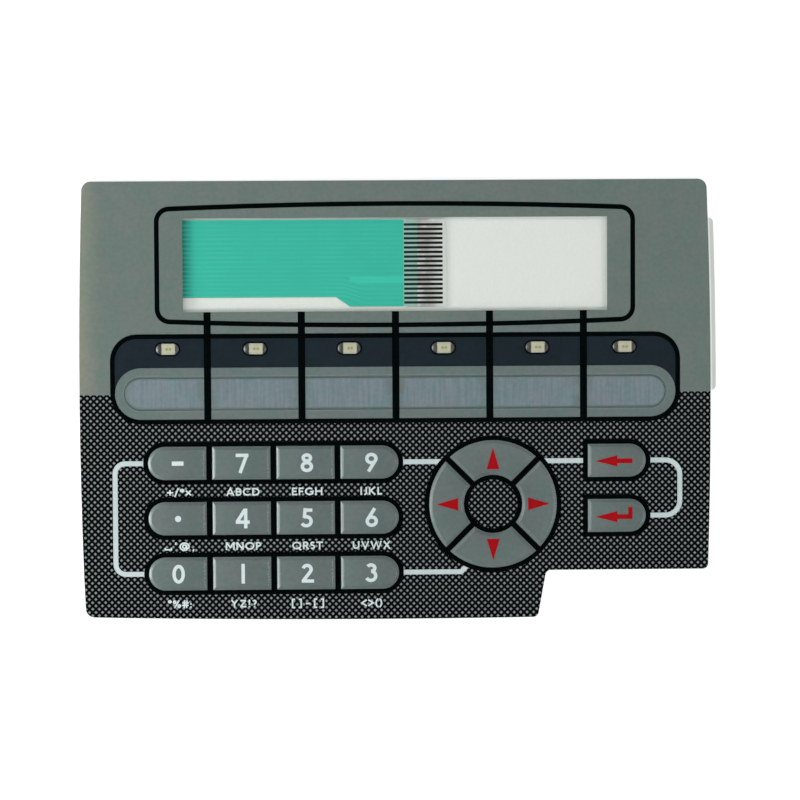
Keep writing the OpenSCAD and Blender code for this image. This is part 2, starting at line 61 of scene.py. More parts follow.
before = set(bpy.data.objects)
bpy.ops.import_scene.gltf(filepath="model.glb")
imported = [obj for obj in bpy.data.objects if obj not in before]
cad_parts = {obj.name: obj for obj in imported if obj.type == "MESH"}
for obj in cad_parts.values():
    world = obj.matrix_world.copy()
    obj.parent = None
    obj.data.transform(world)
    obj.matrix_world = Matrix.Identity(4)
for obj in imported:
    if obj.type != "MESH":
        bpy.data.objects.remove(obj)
CAD_LOW, CAD_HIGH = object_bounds()
MM = 0.001

# Places taken from the frame


def middle(node):
    """Middle of a node's box, in metres."""
    low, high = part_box(node)
    return (np.array(low) + np.array(high)) / 2


def top(node):
    """Height of the top of a node, in metres."""
    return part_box(node)[1].z


def key_middle(name):
    """Middle of a key in x and y, which is that of its dome."""
    return middle("dome_" + name)[:2]


def ring_middle():
    """Middle of the ring of arrow keys in x and y."""
    return (key_middle("left") + key_middle("right")) / 2


NUMBER_ROWS = (("minus", "7", "8", "9"), ("point", "4", "5", "6"), ("0", "1", "2", "3"))
LAMPS = sorted(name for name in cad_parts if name.startswith("led_"))
DOMES = sorted(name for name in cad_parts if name.startswith("dome_") and
               name not in ("dome_retainer", "dome_spacer"))

# Settings


def linear(red, green, blue):
    """A colour given in 0 to 255 display values, as the linear values that shaders use."""
    part = np.array([red, green, blue]) / 255
    return tuple(np.where(part <= 0.04045, part / 12.92, ((part + 0.055) / 1.055) ** 2.4))


def length(name, description, millimetres):
    """A setting that is a length."""
    return FloatProperty(name=name, description=description, default=millimetres * MM, unit="LENGTH",
                         subtype="DISTANCE", precision=5)


def share(name, description, default):
    """A setting from 0 to 1."""
    return FloatProperty(name=name, description=description, default=default, min=0, max=1, subtype="FACTOR")


def number(name, description, default):
    """A setting that is a plain number."""
    return FloatProperty(name=name, description=description, default=default, precision=4)


def angle(name, description, radians):
    """A setting that is an angle."""
    return FloatProperty(name=name, description=description, default=radians, unit="ROTATION",
                         subtype="ANGLE")


def power(name, description, watts):
    """A setting that is the power of a light."""
    return FloatProperty(name=name, description=description, default=watts, unit="POWER")


def colour(name, description, red, green, blue):
    """A setting that is a colour, given in 0 to 255 display values."""
    return FloatVectorProperty(name=name, description=description, default=linear(red, green, blue), size=3,
                               min=0, max=1, subtype="COLOR")


class KeypadInks(bpy.types.PropertyGroup):
    """Colours of the print behind the film"""

    panel: colour("Panel grey", "Upper half of the face", 110, 121, 116)
    keys: colour("Key grey", "Number, arrow and command keys", 103, 113, 111)
    row: colour("Row grey", "Row of function keys", 107, 119, 116)
    label: colour("Label grey", "Label fields inside the oval groove", 119, 132, 137)
    strip: colour("Strip", "Dark strip behind the lamps", 33, 42, 48)
    black: colour("Black", "Lines and borders", 4, 8, 9)
    dots: colour("Dots", "Light dots of the dotted field", 143, 149, 147)
    white: colour("White", "Brackets on the dotted field", 194, 206, 208)
    legend: colour("Legend white", "Digits and letters", 203, 214, 215)
    red: colour("Red", "Arrow marks", 153, 18, 24)
    # Painted sheen: the panel's left edge is paled towards this colour, as if low light from the left caught
    # it
    edge: colour("Edge", "Left edge of the panel, where the ink has paled", 136, 139, 124)
    groove_in: length("Groove inset", "From the outline of the function keys' row to its oval groove", 2.15)


class KeypadDots(bpy.types.PropertyGroup):
    """The dotted field: light squares on black, in rows at 45 degrees"""

    pitch: length("Pitch", "Distance between rows of dots, square to the rows", 1.0045)
    size: share("Size", "Width of a dot as a share of the pitch", 0.445)
    softness: share("Softness", "How far a dot's edge blurs, as a share of the pitch", 0.21)
    rising: share("Rising shift", "Where the rising rows start, as a share of the pitch", 0.195)
    falling: share("Falling shift", "Where the falling rows start, as a share of the pitch", 0.0075)


class KeypadFilm(bpy.types.PropertyGroup):
    """The clear face film"""

    roughness: share("Roughness", "How far the film's gloss spreads on flat places", 0.28)
    matt: share("Matt coat", "Share of its gloss that the film keeps on flat places, which are matt", 0.06)
    drawn: share("Drawn roughness", "How far it spreads where the film is drawn over the edge of a key", 0.31)
    rounding: share("Rounding", "How far the edge of a key shades as rounded towards its top", 0.3)
    index: FloatProperty(name="Refraction", description="Index of refraction of polyester film", default=1.5,
                         min=1.3, max=1.7)
    lift: length("Lift", "How far the film stands clear of the ink behind it", 0.004)
    crease: angle("Crease", "Angle from which an edge of the film shades as sharp", 0.35)


class KeypadLegends(bpy.types.PropertyGroup):
    """Digits, letters and arrow marks"""

    digit_h: length("Digit height", "Height of the digits on the keys", 4.33)
    digit_line: length("Digit line", "Line width of the digits", 0.74)
    digit_right: length("Digit offset right", "From a left key's middle to the middle of its digit", 0.13)
    digit_drift: length("Digit drift", "How much further right each digit stands than the one before it", 0.1)
    digit_up: length("Digit offset up", "From the middle of a key to the middle of its digit", -0.01)
    letter_h: length("Letter height", "Height of the capitals below the keys", 1.7)
    letter_line: length("Letter line", "Line width of the letters", 0.33)
    letter_right: length("Letter offset right", "From the middle of a key to the middle of its letters", 0.34)
    letter_wide: number("Letter width", "How much wider than their drawing the letters are", 1.35)
    ink: length("Ink height", "Thickness of a legend's ink", 0.012)
    point_d: length("Point", "Diameter of the decimal point", 1.42)
    arrow_in: length("Arrow base", "From the ring's middle to the base of an arrow", 7.65)
    arrow_out: length("Arrow tip", "From the ring's middle to the tip of an arrow", 12.35)
    arrow_w: length("Arrow width", "Width of a ring arrow at its base", 2.8)
    command_tip: length("Command tip", "From the middle of a command key to the tip of its arrow", 4.68)
    command_tail: length("Command tail", "From the middle of a command key to the end of its arrow", 3.4)
    command_head: length("Command head", "Width of the head of a command arrow", 2.48)
    command_line: length("Command line", "Line width of a command arrow", 1.05)


class KeypadTail(bpy.types.PropertyGroup):
    """The tail in the display window"""

    coat: colour("Coat", "Insulating coat", 58, 181, 159)
    thin: colour("Thin coat", "Coat between the contacts", 148, 184, 172)
    patch_w: length("Patch width", "Width of the pale field over the spare contact's place", 1.45)
    ridge_w: length("Ridge width", "Width of the ridge that a track makes in the coat", 0.42)
    ridge_h: length("Ridge height", "Height of the ridge that a track makes in the coat", 0.012)
    tracks: IntProperty(name="Tracks", description="Number of contacts on the tail", default=18)
    spare: IntProperty(name="Spare contact", description="The contact that no track leads to", default=12)
    close_pitch: length("Close pitch", "Distance between the lower tracks where the tail is narrow", 0.9)
    jog_start: length("Jog start", "Where the lower tracks leave the narrow part", -11.6)
    jog_end: length("Jog end", "Where the lower tracks reach their contacts' height", -7.6)


class KeypadLamps(bpy.types.PropertyGroup):
    """The chip lamps behind the dark strip"""

    body: colour("Body", "Moulded body", 181, 182, 160)
    glow: colour("Resin", "Resin round the chips", 170, 169, 131)
    die: colour("Chip colour", "Chips in their cups", 148, 143, 98)
    die_d: length("Chip", "Diameter of a chip's cup", 0.62)
    die_out: length("Chip offset", "From the middle of a lamp to a chip", 0.36)


class KeypadStage(bpy.types.PropertyGroup):
    """Camera, light and floor"""

    distance: length("Camera distance", "From the face to the camera", 600)
    view_w: length("View width", "Width of the picture at the face", 174.69)
    aim_x: length("Aim across", "Point of the face at the middle of the picture", 0.87)
    aim_y: length("Aim up", "Point of the face at the middle of the picture", 0.083)
    lean_x: number("Lean across", "Sideways lean of the camera from straight above", -0.024)
    lean_y: number("Lean up", "Lean of the camera from straight above, along the face", 0.048)
    turn: angle("Turn", "Turn of the face in the picture", 0.0056)
    key_power: power("Low light", "Power of the low light from the left", 1.18)
    rim_power: power("Rim light", "Power of the low light from the right", 0.04)
    side_power: power("Side light", "Power of the soft light on either side", 3.3)
    fill_power: power("Soft light", "Power of the soft light behind and in front", 3.3)
    sky: number("Sky", "Strength of the surroundings near the horizon", 0.35)


SETTINGS = {
    "keypad_inks": KeypadInks,
    "keypad_dots": KeypadDots,
    "keypad_film": KeypadFilm,
    "keypad_legends": KeypadLegends,
    "keypad_tail": KeypadTail,
    "keypad_lamps": KeypadLamps,
    "keypad_stage": KeypadStage,
}

# Surfaces


def swept(sections, closed=False):
    """A closed skin over a row of like sections, an array of rows, corners and x, y, z. Neighbouring
    sections are joined by a band of quads. A closed row joins its last section to its first, an open one
    gets two end faces.
    """
    rows, corners, _ = sections.shape
    index = np.arange(rows * corners).reshape(rows, corners)
    near = index if closed else index[:-1]
    far = np.roll(index, -1, axis=0) if closed else index[1:]
    bands = np.stack([near, far, np.roll(far, -1, axis=1), np.roll(near, -1, axis=1)], axis=-1)
    faces = bands.reshape(-1, 4).tolist()
    if not closed:
        faces += [index[0].tolist(), index[-1, ::-1].tolist()]
    return sections.reshape(-1, 3), faces


# Least cosine of half the turn at a corner of a path
SHARPEST = 0.45


def side_steps(path, closed):
    """Unit steps to the left of each point of a path. At a corner the step runs along the half angle,
    longer by one over its cosine, so that both edges of a strip stay parallel to the path. SHARPEST limits
    that.
    """
    legs = np.diff(np.vstack([path, path[:1]]) if closed else path, axis=0)
    ways = legs / np.linalg.norm(legs, axis=1, keepdims=True)
    before = np.roll(ways, 1, axis=0) if closed else np.vstack([ways[:1], ways])
    after = ways if closed else np.vstack([ways, ways[-1:]])
    mean = before + after
    mean /= np.linalg.norm(mean, axis=1, keepdims=True)
    stretch = 1 / np.maximum((mean * after).sum(axis=1), SHARPEST)
    return np.stack([-mean[:, 1], mean[:, 0]], axis=1) * stretch[:, None]


def strip(path, width, low, high, closed=False):
    """A flat strip of ink: a rectangle as wide as the line and from low to high, carried along the path and
    held square to it. The width is one number, or one for each point of the path.
    """
    path = np.asarray(path, float)
    half = side_steps(path, closed) * np.broadcast_to(width, len(path))[:, None] / 2
    sections = np.empty((len(path), 4, 3))
    sections[:, (0, 3), :2] = (path + half)[:, None]
    sections[:, (1, 2), :2] = (path - half)[:, None]
    sections[:, :2, 2] = low
    sections[:, 2:, 2] = high
    return swept(sections, closed)


def ridge(path, width, low, high):
    """A low ridge: half of an ellipse, as wide as the line and from low to high, carried along the path."""
    path = np.asarray(path, float)
    turn = np.radians(np.linspace(180, 0, 7))
    half = side_steps(path, False) * width / 2
    sections = np.empty((len(path), len(turn), 3))
    sections[:, :, :2] = path[:, None] - half[:, None] * np.cos(turn)[None, :, None]
    sections[:, :, 2] = low + (high - low) * np.sin(turn)
    return swept(sections[:, ::-1])


def button(centre, diameter, low, high, rings=5, sides=28):
    """A round button with a domed top: circles whose radius runs with the cosine of an angle, and their
    height with its sine, from the rim at low up to high.
    """
    lift = np.radians(np.linspace(0, 86, rings))
    around = -np.radians(np.arange(sides) * 360 / sides)
    radius = diameter / 2 * np.cos(lift)
    sections = np.empty((rings, sides, 3))
    sections[:, :, 0] = centre[0] + radius[:, None] * np.cos(around)
    sections[:, :, 1] = centre[1] + radius[:, None] * np.sin(around)
    sections[:, :, 2] = (low + (high - low) * np.sin(lift))[:, None]
    return swept(sections)


def plate(half, height):
    """A flat square at a height, as one quad."""
    corners = np.array([[-1, -1], [1, -1], [1, 1], [-1, 1]]) * half
    return np.column_stack([corners, np.full(4, height)]), [[0, 1, 2, 3]]


def link(name, data):
    """A new object for some data, in the scene."""
    made = bpy.data.objects.new(name, data)
    bpy.context.scene.collection.objects.link(made)
    return made


def make_object(name, parts, material):
    """One mesh object at the origin from several surfaces."""
    starts = np.cumsum([0] + [len(points) for points, _ in parts])
    points = np.vstack([points for points, _ in parts])
    faces = []
    for (_, some), start in zip(parts, starts):
        faces += [[corner + start for corner in face] for face in some]
    mesh = bpy.data.meshes.new(name)
    mesh.from_pydata(points.tolist(), [], faces)
    mesh.materials.append(material)
    mesh.update()
    return link(name, mesh)


def make_piece(name, parts, material):
    """A piece of the keypad, which moves with its one body."""
    piece = make_object(name, parts, material)
    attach(piece, "root")
    return piece


# Node trees


def add_node(tree, kind, inputs=None, **settings):
    """Adds a node. An input is a value, or another node's output to link it to."""
    made = tree.nodes.new(kind)
    for name, value in settings.items():
        setattr(made, name, value)
    for key, value in (inputs or {}).items():
        if isinstance(value, bpy.types.NodeSocket):
            tree.links.new(value, made.inputs[key])
        else:
            made.inputs[key].default_value = value
    return made


def empty_material(name):
    """A material and its node tree, which is empty."""
    material = bpy.data.materials.new(name)
    material.use_nodes = True
    material.node_tree.nodes.clear()
    return material, material.node_tree


def new_material(name):
    """A material, and the object coordinates in it, which here are metres in the keypad's own frame."""
    material, tree = empty_material(name)
    return material, add_node(tree, "ShaderNodeTexCoord").outputs["Object"]


def finish_material(shader):
    """Links a shader to its material's output."""
    add_node(shader.id_data, "ShaderNodeOutputMaterial", {"Surface": shader})


def placed(where, scale, shift=(0, 0, 0), turn=0.0):
    """Coordinates turned about Z, scaled and then shifted."""
    inputs = {"Vector": where, "Scale": scale, "Location": shift, "Rotation": (0, 0, turn)}
    return add_node(where.id_data, "ShaderNodeMapping", inputs).outputs["Vector"]


def split(where):
    """The x, y and z of coordinates."""
    return add_node(where.id_data, "ShaderNodeSeparateXYZ", {0: where}).outputs


def tree_of(values):
    """The node tree of the outputs among some values."""
    return next(value.id_data for value in values if isinstance(value, bpy.types.NodeSocket))


def calc(operation, *values):
    """One step of arithmetic."""
    inputs = dict(enumerate(values))
    return add_node(tree_of(values), "ShaderNodeMath", inputs, operation=operation).outputs[0]


def vector_calc(operation, *values):
    """One step of vector arithmetic."""
    made = add_node(tree_of(values), "ShaderNodeVectorMath", dict(enumerate(values)), operation=operation)
    return made.outputs["Value" if operation == "LENGTH" else "Vector"]


def ramp(value, start, end, low=0.0, high=1.0):
    """A smooth step of a value from low at start to high at end."""
    inputs = {"Value": value, "From Min": start, "From Max": end, "To Min": low, "To Max": high}
    made = add_node(value.id_data, "ShaderNodeMapRange", inputs, interpolation_type="SMOOTHSTEP")
    return made.outputs["Result"]


def band(value, centre, half):
    """A smooth step of a value from 0 at a centre to 1 at half a band's width on either side."""
    return ramp(calc("ABSOLUTE", calc("SUBTRACT", value, centre)), 0.0, half)


def chosen(factor, first, second):
    """The first of two numbers where a factor is 0, the second where it is 1."""
    return add_node(factor.id_data, "ShaderNodeMix", {0: factor, 2: first, 3: second}).outputs[0]


def noise(where, size, detail=2.0):
    """Soft noise from 0 to 1 with features of about a size in metres."""
    inputs = {"Vector": where, "Scale": 1 / size, "Detail": detail}
    return add_node(where.id_data, "ShaderNodeTexNoise", inputs).outputs["Fac"]


def mixed(factor, first, second, blend="MIX"):
    """Two colours mixed by a factor in one of the blend modes. Each of the three is a value or an output."""
    tree = tree_of((factor, first, second))
    made = add_node(tree, "ShaderNodeMix", {0: factor}, data_type="RGBA", blend_type=blend)
    for index, value in ((6, first), (7, second)):
        if isinstance(value, bpy.types.NodeSocket):
            tree.links.new(value, made.inputs[index])
        else:
            made.inputs[index].default_value = (*value, 1)
    return made.outputs[2]


def shade(tint, amount):
    """A colour made lighter or darker."""
    return tuple(min(1.0, part * amount) for part in tint)


def bump(height, distance, strength=1.0):
    """Shading normals from a height between 0 and 1 over a distance in metres."""
    inputs = {"Height": height, "Distance": distance, "Strength": strength}
    return add_node(height.id_data, "ShaderNodeBump", inputs).outputs["Normal"]


def drifting(where, tint, amount, size):
    """A colour that drifts a little lighter and darker, over patches of about a size."""
    return mixed(noise(where, size), shade(tint, 1 - amount), shade(tint, 1 + amount))


def painted(tint, roughness, **inputs):
    """Finishes a material with a principled shader. Other inputs are named with underscores for spaces."""
    values = {"Base Color": tint, "Roughness": roughness}
    values.update({name.replace("_", " "): value for name, value in inputs.items()})
    finish_material(add_node(tint.id_data, "ShaderNodeBsdfPrincipled", values).outputs[0])


def dress(nodes, material):
    """Gives CAD nodes a material."""
    for name in nodes:
        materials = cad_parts[name].data.materials
        materials.clear()
        materials.append(material)


# Inks

# Finish of the inks, and the sizes of their patches and of the screen's mesh
INK_ROUGHNESS = 0.6
INK_PATCH = 14 * MM
INK_MESH = 0.16 * MM


def blotched(where, tint):
    """A colour with faint cool and warm blotches, and fine grain."""
    warm = ramp(noise(where, 3.6 * MM, 5.0), 0.35, 0.65)
    tone = mixed(warm, (0.43, 0.49, 0.48), (0.51, 0.49, 0.5))
    toned = mixed(0.8, tint, tone, "SOFT_LIGHT")
    fine = mixed(noise(where, 0.9 * MM, 3.0), (0.4, 0.4, 0.4), (0.6, 0.6, 0.6))
    return mixed(0.7, toned, fine, "SOFT_LIGHT")


def ink_shader(where, tint, pressed=None):
    """Ink bonded to the back of the film: no gloss of its own, and the faint mesh that it was printed
    through. It may carry the shading normal of a pressed mark.
    """
    grain = pressed or bump(noise(where, INK_MESH), 0.01 * MM, 0.3)
    painted(tint, INK_ROUGHNESS, Specular_IOR_Level=0.0, Normal=grain)


def plain_ink(name, tint, drift=0.05):
    """One colour of ink, drifting a little over the sheet."""
    material, where = new_material(name)
    ink_shader(where, blotched(where, drifting(where, tint, drift, INK_PATCH)))
    return material


def panel_ink(inks):
    """The panel's grey, with a painted sheen: paler and warmer in a narrow band along its left edge, where
    low light from the left catches it.
    """
    material, where = new_material("panel_ink")
    left = CAD_LOW.x
    across = split(where)[0]
    wander = calc("MULTIPLY", noise(where, 9 * MM), 3 * MM)
    # Painted sheen along the left edge, where low light from the left would catch it
    pale = ramp(calc("ADD", across, wander), left + 7 * MM, left + 1 * MM, 0.0, 0.8)
    base = drifting(where, inks.panel, 0.05, INK_PATCH)
    ink_shader(where, blotched(where, mixed(pale, base, inks.edge)))
    return material


def key_ink(inks):
    """The keys' grey with painted shading: lighter on the side towards the light and dimmer on the far side.
    With u the share of a key's width from its left, or in the arrow ring the share of the way from its rim to
    its hole, the painted shading runs from light at 0 to dim at 1.
    """
    material, where = new_material("key_ink")
    first, second, command = (key_middle(name)[0] for name in ("minus", "7", "back"))
    left, lowest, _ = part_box("print_key_grey")[0]
    width = 2 * (first - left)
    ring = ring_middle()
    across = split(where)[0]
    column = calc("FRACT", calc("DIVIDE", calc("SUBTRACT", across, left), second - first))
    in_column = calc("MULTIPLY", column, (second - first) / width)
    in_command = calc("DIVIDE", calc("SUBTRACT", across, command - width / 2), width)
    at_right = calc("GREATER_THAN", across, command - width)
    away = vector_calc("LENGTH", placed(where, (1, 1, 0), (-ring[0], -ring[1], 0)))
    in_ring = calc("SUBTRACT", 1.0, calc("DIVIDE", away, ring[1] - lowest))
    near_ring = calc("GREATER_THAN", in_ring, 0.0)
    u = chosen(near_ring, chosen(at_right, in_column, in_command), in_ring)
    # Painted shading: each key lighter on the side towards the light, dimmer on the far side
    tint = mixed(ramp(u, 0.0, 0.75), shade(inks.keys, 1.13), shade(inks.keys, 0.96))
    ink_shader(where, blotched(where, tint))
    return material


def dotted_ink(inks, dots):
    """Light squares on black in rows at 45 degrees: the turned coordinates, in pitches, are folded to one
    cell, and the larger of the two distances from its middle tells the dot from the black lines.
    """
    material, where = new_material("dotted_ink")
    scale = 1 / dots.pitch
    shift = (0.5 - dots.rising, 0.5 + dots.falling, 0)
    cell = vector_calc("FRACTION", placed(where, (scale,) * 3, shift, np.radians(-45)))
    offset = vector_calc("ABSOLUTE", vector_calc("SUBTRACT", cell, (0.5, 0.5, 0.5)))
    parts = split(offset)
    far = calc("SMOOTH_MAX", parts[0], parts[1], 0.12)
    edge = dots.size / 2
    dot = ramp(far, edge + dots.softness / 2, edge - dots.softness / 2)
    light = drifting(where, inks.dots, 0.06, INK_PATCH)
    ink_shader(where, mixed(dot, inks.black, light))
    return material


# The groove round the label fields, with its painted shade, and the painted highlight on the lip outside it
GROOVE_HALF = 0.28 * MM
GROOVE_DEPTH = 0.2 * MM
LIP_OUT = 0.35 * MM
LIP_HALF = 0.3 * MM


def row_ink(inks):
    """The function keys' grey, with a bluer label field inside the oval groove. The field is where the
    distance to the oval's spine is less than the groove's radius. It fades unevenly towards the divider
    lines and is streaked from top to bottom. The groove itself is a dip in the ink at that same distance,
    darkened along it by painted shade, with a painted highlight on a lip outside it.
    """
    material, where = new_material("row_ink")
    low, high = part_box("print_function_grey")
    spine_y = (low.y + high.y) / 2
    radius = (high.y - low.y) / 2
    groove_r = radius - inks.groove_in
    reach = high.x - radius
    parts = split(where)
    sideways = calc("ABSOLUTE", parts[0])
    past = calc("MAXIMUM", calc("SUBTRACT", sideways, reach), 0.0)
    aside = calc("SUBTRACT", parts[1], spine_y)
    squares = calc("ADD", calc("POWER", past, 2), calc("POWER", aside, 2))
    away = calc("SQRT", squares)
    field = ramp(away, groove_r - 0.05 * MM, groove_r - 0.7 * MM)
    pitch = key_middle("f4")[0] * 2
    cell = calc("FRACT", calc("DIVIDE", parts[0], pitch))
    along = calc("MULTIPLY", calc("PINGPONG", cell, 0.5), pitch)
    uneven = calc("MULTIPLY", noise(where, 3 * MM, 4.0), 5 * MM)
    inward = ramp(calc("SUBTRACT", along, uneven), -2.6 * MM, 0.4 * MM)
    field = calc("MULTIPLY", field, inward)
    streaks = ramp(noise(placed(where, (1, 0.06, 1)), 0.62 * MM, 2.0), 0.32, 0.68)
    label = mixed(streaks, shade(inks.label, 0.94), shade(inks.label, 1.07))
    base = drifting(where, inks.row, 0.05, INK_PATCH)
    # Painted shade along the groove and a painted highlight on the lip outside it
    wall = band(away, groove_r, GROOVE_HALF)
    lip = band(away, groove_r + LIP_OUT, LIP_HALF)
    lit = mixed(lip, shade(inks.row, 1.14), mixed(field, base, label))
    with_painted_groove_shade = mixed(wall, shade(inks.row, 0.84), lit)
    ink_shader(where, blotched(where, with_painted_groove_shade), bump(wall, GROOVE_DEPTH))
    return material


class KEYPAD_OT_inks(bpy.types.Operator):
    """Colour the ink passes behind the film"""

    bl_idname = "keypad.inks"
    bl_label = "Inks"

    def execute(self, context):
        inks = context.scene.keypad_inks
        dress(["print_panel_grey"], panel_ink(inks))
        dress(["print_key_grey"], key_ink(inks))
        dress(["print_strip"], plain_ink("strip_ink", inks.strip, 0.12))
        dress(["print_black"], plain_ink("black_ink", inks.black, 0.15))
        dress(["print_white"], plain_ink("white_ink", inks.white))
        dress(["print_function_grey"], row_ink(inks))
        dress(["print_hatch"], dotted_ink(inks, context.scene.keypad_dots))
        return {"FINISHED"}


# Film

# Height of a face's normal: flat film, drawn film, a level face and the steepest slope
FLAT_Z = 0.97
DRAWN_Z = 0.9
LEVEL_Z = 0.999
STEEP_Z = 0.3
MAIN_TOLERANCE = 0.02 * MM


def clear_film(film):
    """Clear film: it lets light straight through apart from the share that its face mirrors, which grows
    towards the edge of view as in glass. Its inner faces are bonded to the ink and mirror nothing. A matt
    coat takes most of the gloss from flat places. Where the film is drawn to a slope, that coat is
    stretched and the gloss is back.
    """
    material, tree = empty_material("clear_film")
    surface = add_node(tree, "ShaderNodeNewGeometry").outputs
    mirrored = add_node(tree, "ShaderNodeFresnel", {"IOR": film.index}).outputs[0]
    upright = split(surface["True Normal"])[2]
    kept = ramp(upright, FLAT_Z, DRAWN_Z, film.matt, 1.0)
    outside = calc("SUBTRACT", 1.0, surface["Backfacing"])
    factor = calc("MULTIPLY", calc("MULTIPLY", mirrored, kept), outside)
    dull = ramp(upright, FLAT_Z, DRAWN_Z, film.roughness, film.drawn)
    gloss = add_node(tree, "ShaderNodeBsdfGlossy", {"Roughness": dull}).outputs[0]
    clear = add_node(tree, "ShaderNodeBsdfTransparent").outputs[0]
    finish_material(add_node(tree, "ShaderNodeMixShader", {0: factor, 1: clear, 2: gloss}).outputs[0])
    return material


def values_of(items, attribute, size, kind):
    """An attribute of all items in a mesh's list, as an array with rows of a size."""
    values = np.empty(len(items) * size, kind)
    items.foreach_get(attribute, values)
    return values.reshape(-1, size)


def welded(node, weld=1e-7):
    """A CAD node's surface with the corners of its loose triangles joined: points that round to the same
    place on a grid of the weld size become one, and triangles that this leaves without three corners go.
    """
    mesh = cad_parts[node].data
    mesh.calc_loop_triangles()
    points = values_of(mesh.vertices, "co", 3, np.float32).astype(float)
    corners = values_of(mesh.loop_triangles, "vertices", 3, np.int32)
    grid = np.rint(points / weld).astype(np.int64)
    _, first, joined = np.unique(grid, axis=0, return_index=True, return_inverse=True)
    faces = joined.reshape(-1)[corners]
    whole = (faces != np.roll(faces, 1, axis=1)).all(axis=1)
    return points[first], faces[whole].tolist()


def round_edges(mesh, rounding):
    """Turns the corner normals of a mesh of triangles so that the sloping edges of raised places shade as
    rounded. With t from 0 at the foot of a slope to 1 at its top, the normal n becomes (1 - rounding t) n +
    rounding t z. Slopes below the main level, which is the one with most area, shade as flat.
    """
    normals = values_of(mesh.corner_normals, "vector", 3, np.float32).reshape(-1, 3, 3).astype(float)
    corners = values_of(mesh.loops, "vertex_index", 1, np.int32).reshape(-1, 3)
    spots = values_of(mesh.vertices, "co", 3, np.float32).astype(float)[corners]
    across = np.cross(spots[:, 1] - spots[:, 0], spots[:, 2] - spots[:, 0])
    area = np.linalg.norm(across, axis=1)
    upright = across[:, 2] / np.maximum(area, 1e-18)
    heights = spots[:, :, 2]
    low, high = heights.min(axis=1), heights.max(axis=1)
    levels, place = np.unique(np.round(high, 6), return_inverse=True)
    main = levels[np.bincount(place.reshape(-1), area * (upright > LEVEL_Z)).argmax()]
    slope = (upright > STEEP_Z) & (upright < LEVEL_Z)
    t = (heights - low[:, None]) / np.maximum(high - low, 1e-9)[:, None]
    share_up = np.where(slope[:, None], t * rounding, 0)
    share_up[slope & (high < main + MAIN_TOLERANCE)] = 1
    normals = normals * (1 - share_up[:, :, None]) + np.array([0, 0, 1]) * share_up[:, :, None]
    normals /= np.linalg.norm(normals, axis=2, keepdims=True)
    mesh.normals_split_custom_set(normals.reshape(-1, 3).tolist())


class KEYPAD_OT_film(bpy.types.Operator):
    """Lay the clear embossed face film over the inks"""

    bl_idname = "keypad.film"
    bl_label = "Face film"

    def execute(self, context):
        film = context.scene.keypad_film
        material = clear_film(film)
        dress(["overlay_film"], material)
        points, faces = welded("overlay_film")
        points[:, 2] += film.lift
        sheet = make_piece("face_film", [(points, faces)], material)
        sheet.data.shade_smooth()
        sheet.data.set_sharp_from_angle(angle=film.crease)
        round_edges(sheet.data, film.rounding)
        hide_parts("overlay_film")
        return {"FINISHED"}


# Inner layers


def sheet_stock(name, tint, roughness, patch, drift=0.04):
    """Plain sheet stock: a colour with faint patches and a slightly uneven face."""
    material, where = new_material(name)
    wave = bump(noise(where, patch), 0.02 * MM, 0.4)
    painted(drifting(where, tint, drift, patch), roughness, Normal=wave)
    return material


# How far the panel's right side bows between its middle and its corners
SIDE_BOW = 0.95 * MM


def liner_paper():
    """Coated release paper: white with fine fibres. At its bowed peel edge, a painted highlight lights a
    strip next to the panel and painted shade greys the outer half.
    """
    material, where = new_material("liner_paper")
    fibres = noise(placed(where, (1, 0.4, 1)), 0.35 * MM, 4.0)
    tint = mixed(fibres, linear(216, 222, 215), linear(227, 232, 226))
    parts = split(where)
    height = calc("DIVIDE", parts[1], CAD_HIGH.y)
    bow = calc("MULTIPLY", calc("POWER", height, 2), SIDE_BOW)
    out = calc("ADD", parts[0], bow)
    # Painted highlight on a strip next to the panel, then painted shade over the outer half of the peel edge
    inner = ramp(out, CAD_HIGH.x - 1.6 * MM, CAD_HIGH.x - 1.4 * MM)
    outer = ramp(out, CAD_HIGH.x - 0.95 * MM, CAD_HIGH.x - 0.7 * MM)
    tint = mixed(inner, tint, linear(236, 239, 235))
    tint = mixed(outer, tint, linear(208, 212, 207))
    painted(tint, 0.5, Normal=bump(fibres, 0.01 * MM, 0.3))
    return material


def circuit_film():
    """Milky polyester: greyer between the contacts, clearing to the end of the tail."""
    material, where = new_material("circuit_film")
    across = split(where)[0]
    low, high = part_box("tail_contacts")
    between = calc("MULTIPLY", ramp(across, low.x, low.x + 1 * MM),
                   ramp(across, high.x + 0.4 * MM, high.x - 3.5 * MM))
    # Greyer in uneven patches between the contacts
    greyed = calc("MULTIPLY", between, ramp(noise(where, 3 * MM), 0.2, 0.6))
    tint = mixed(greyed, linear(210, 217, 210), linear(160, 159, 154))
    wave = bump(noise(where, 6 * MM), 0.02 * MM, 0.4)
    painted(tint, 0.35, Normal=wave)
    return material


def silver_print():
    """Silver-filled print: bright grains in a dull binder."""
    material, where = new_material("silver_print")
    grains = noise(where, 0.05 * MM, 3.0)
    tint = mixed(grains, linear(92, 94, 90), linear(140, 141, 136))
    painted(tint, 0.42, Metallic=0.85)
    return material


def dome_steel():
    """Rolled spring steel: fine lines along the strip that the domes were stamped from."""
    material, where = new_material("dome_steel")
    lines = noise(placed(where, (0.08, 1, 1)), 0.08 * MM, 3.0)
    tint = mixed(lines, linear(168, 170, 172), linear(204, 205, 206))
    brushed = bump(lines, 0.004 * MM, 0.4)
    painted(tint, 0.28, Metallic=1.0, Normal=brushed)
    return material


# Sheets of plain stock: the finish, its colour in display values, its roughness and the size of its patches
SHEETS = {
    "overlay_adhesive": ("overlay_glue", (226, 226, 220), 0.45, 3 * MM),
    "rear_adhesive": ("mounting_glue", (232, 226, 204), 0.5, 3 * MM),
    "dome_retainer": ("retainer_film", (206, 214, 222), 0.3, 8 * MM),
    "dome_spacer": ("spacer_film", (222, 228, 232), 0.35, 8 * MM),
}


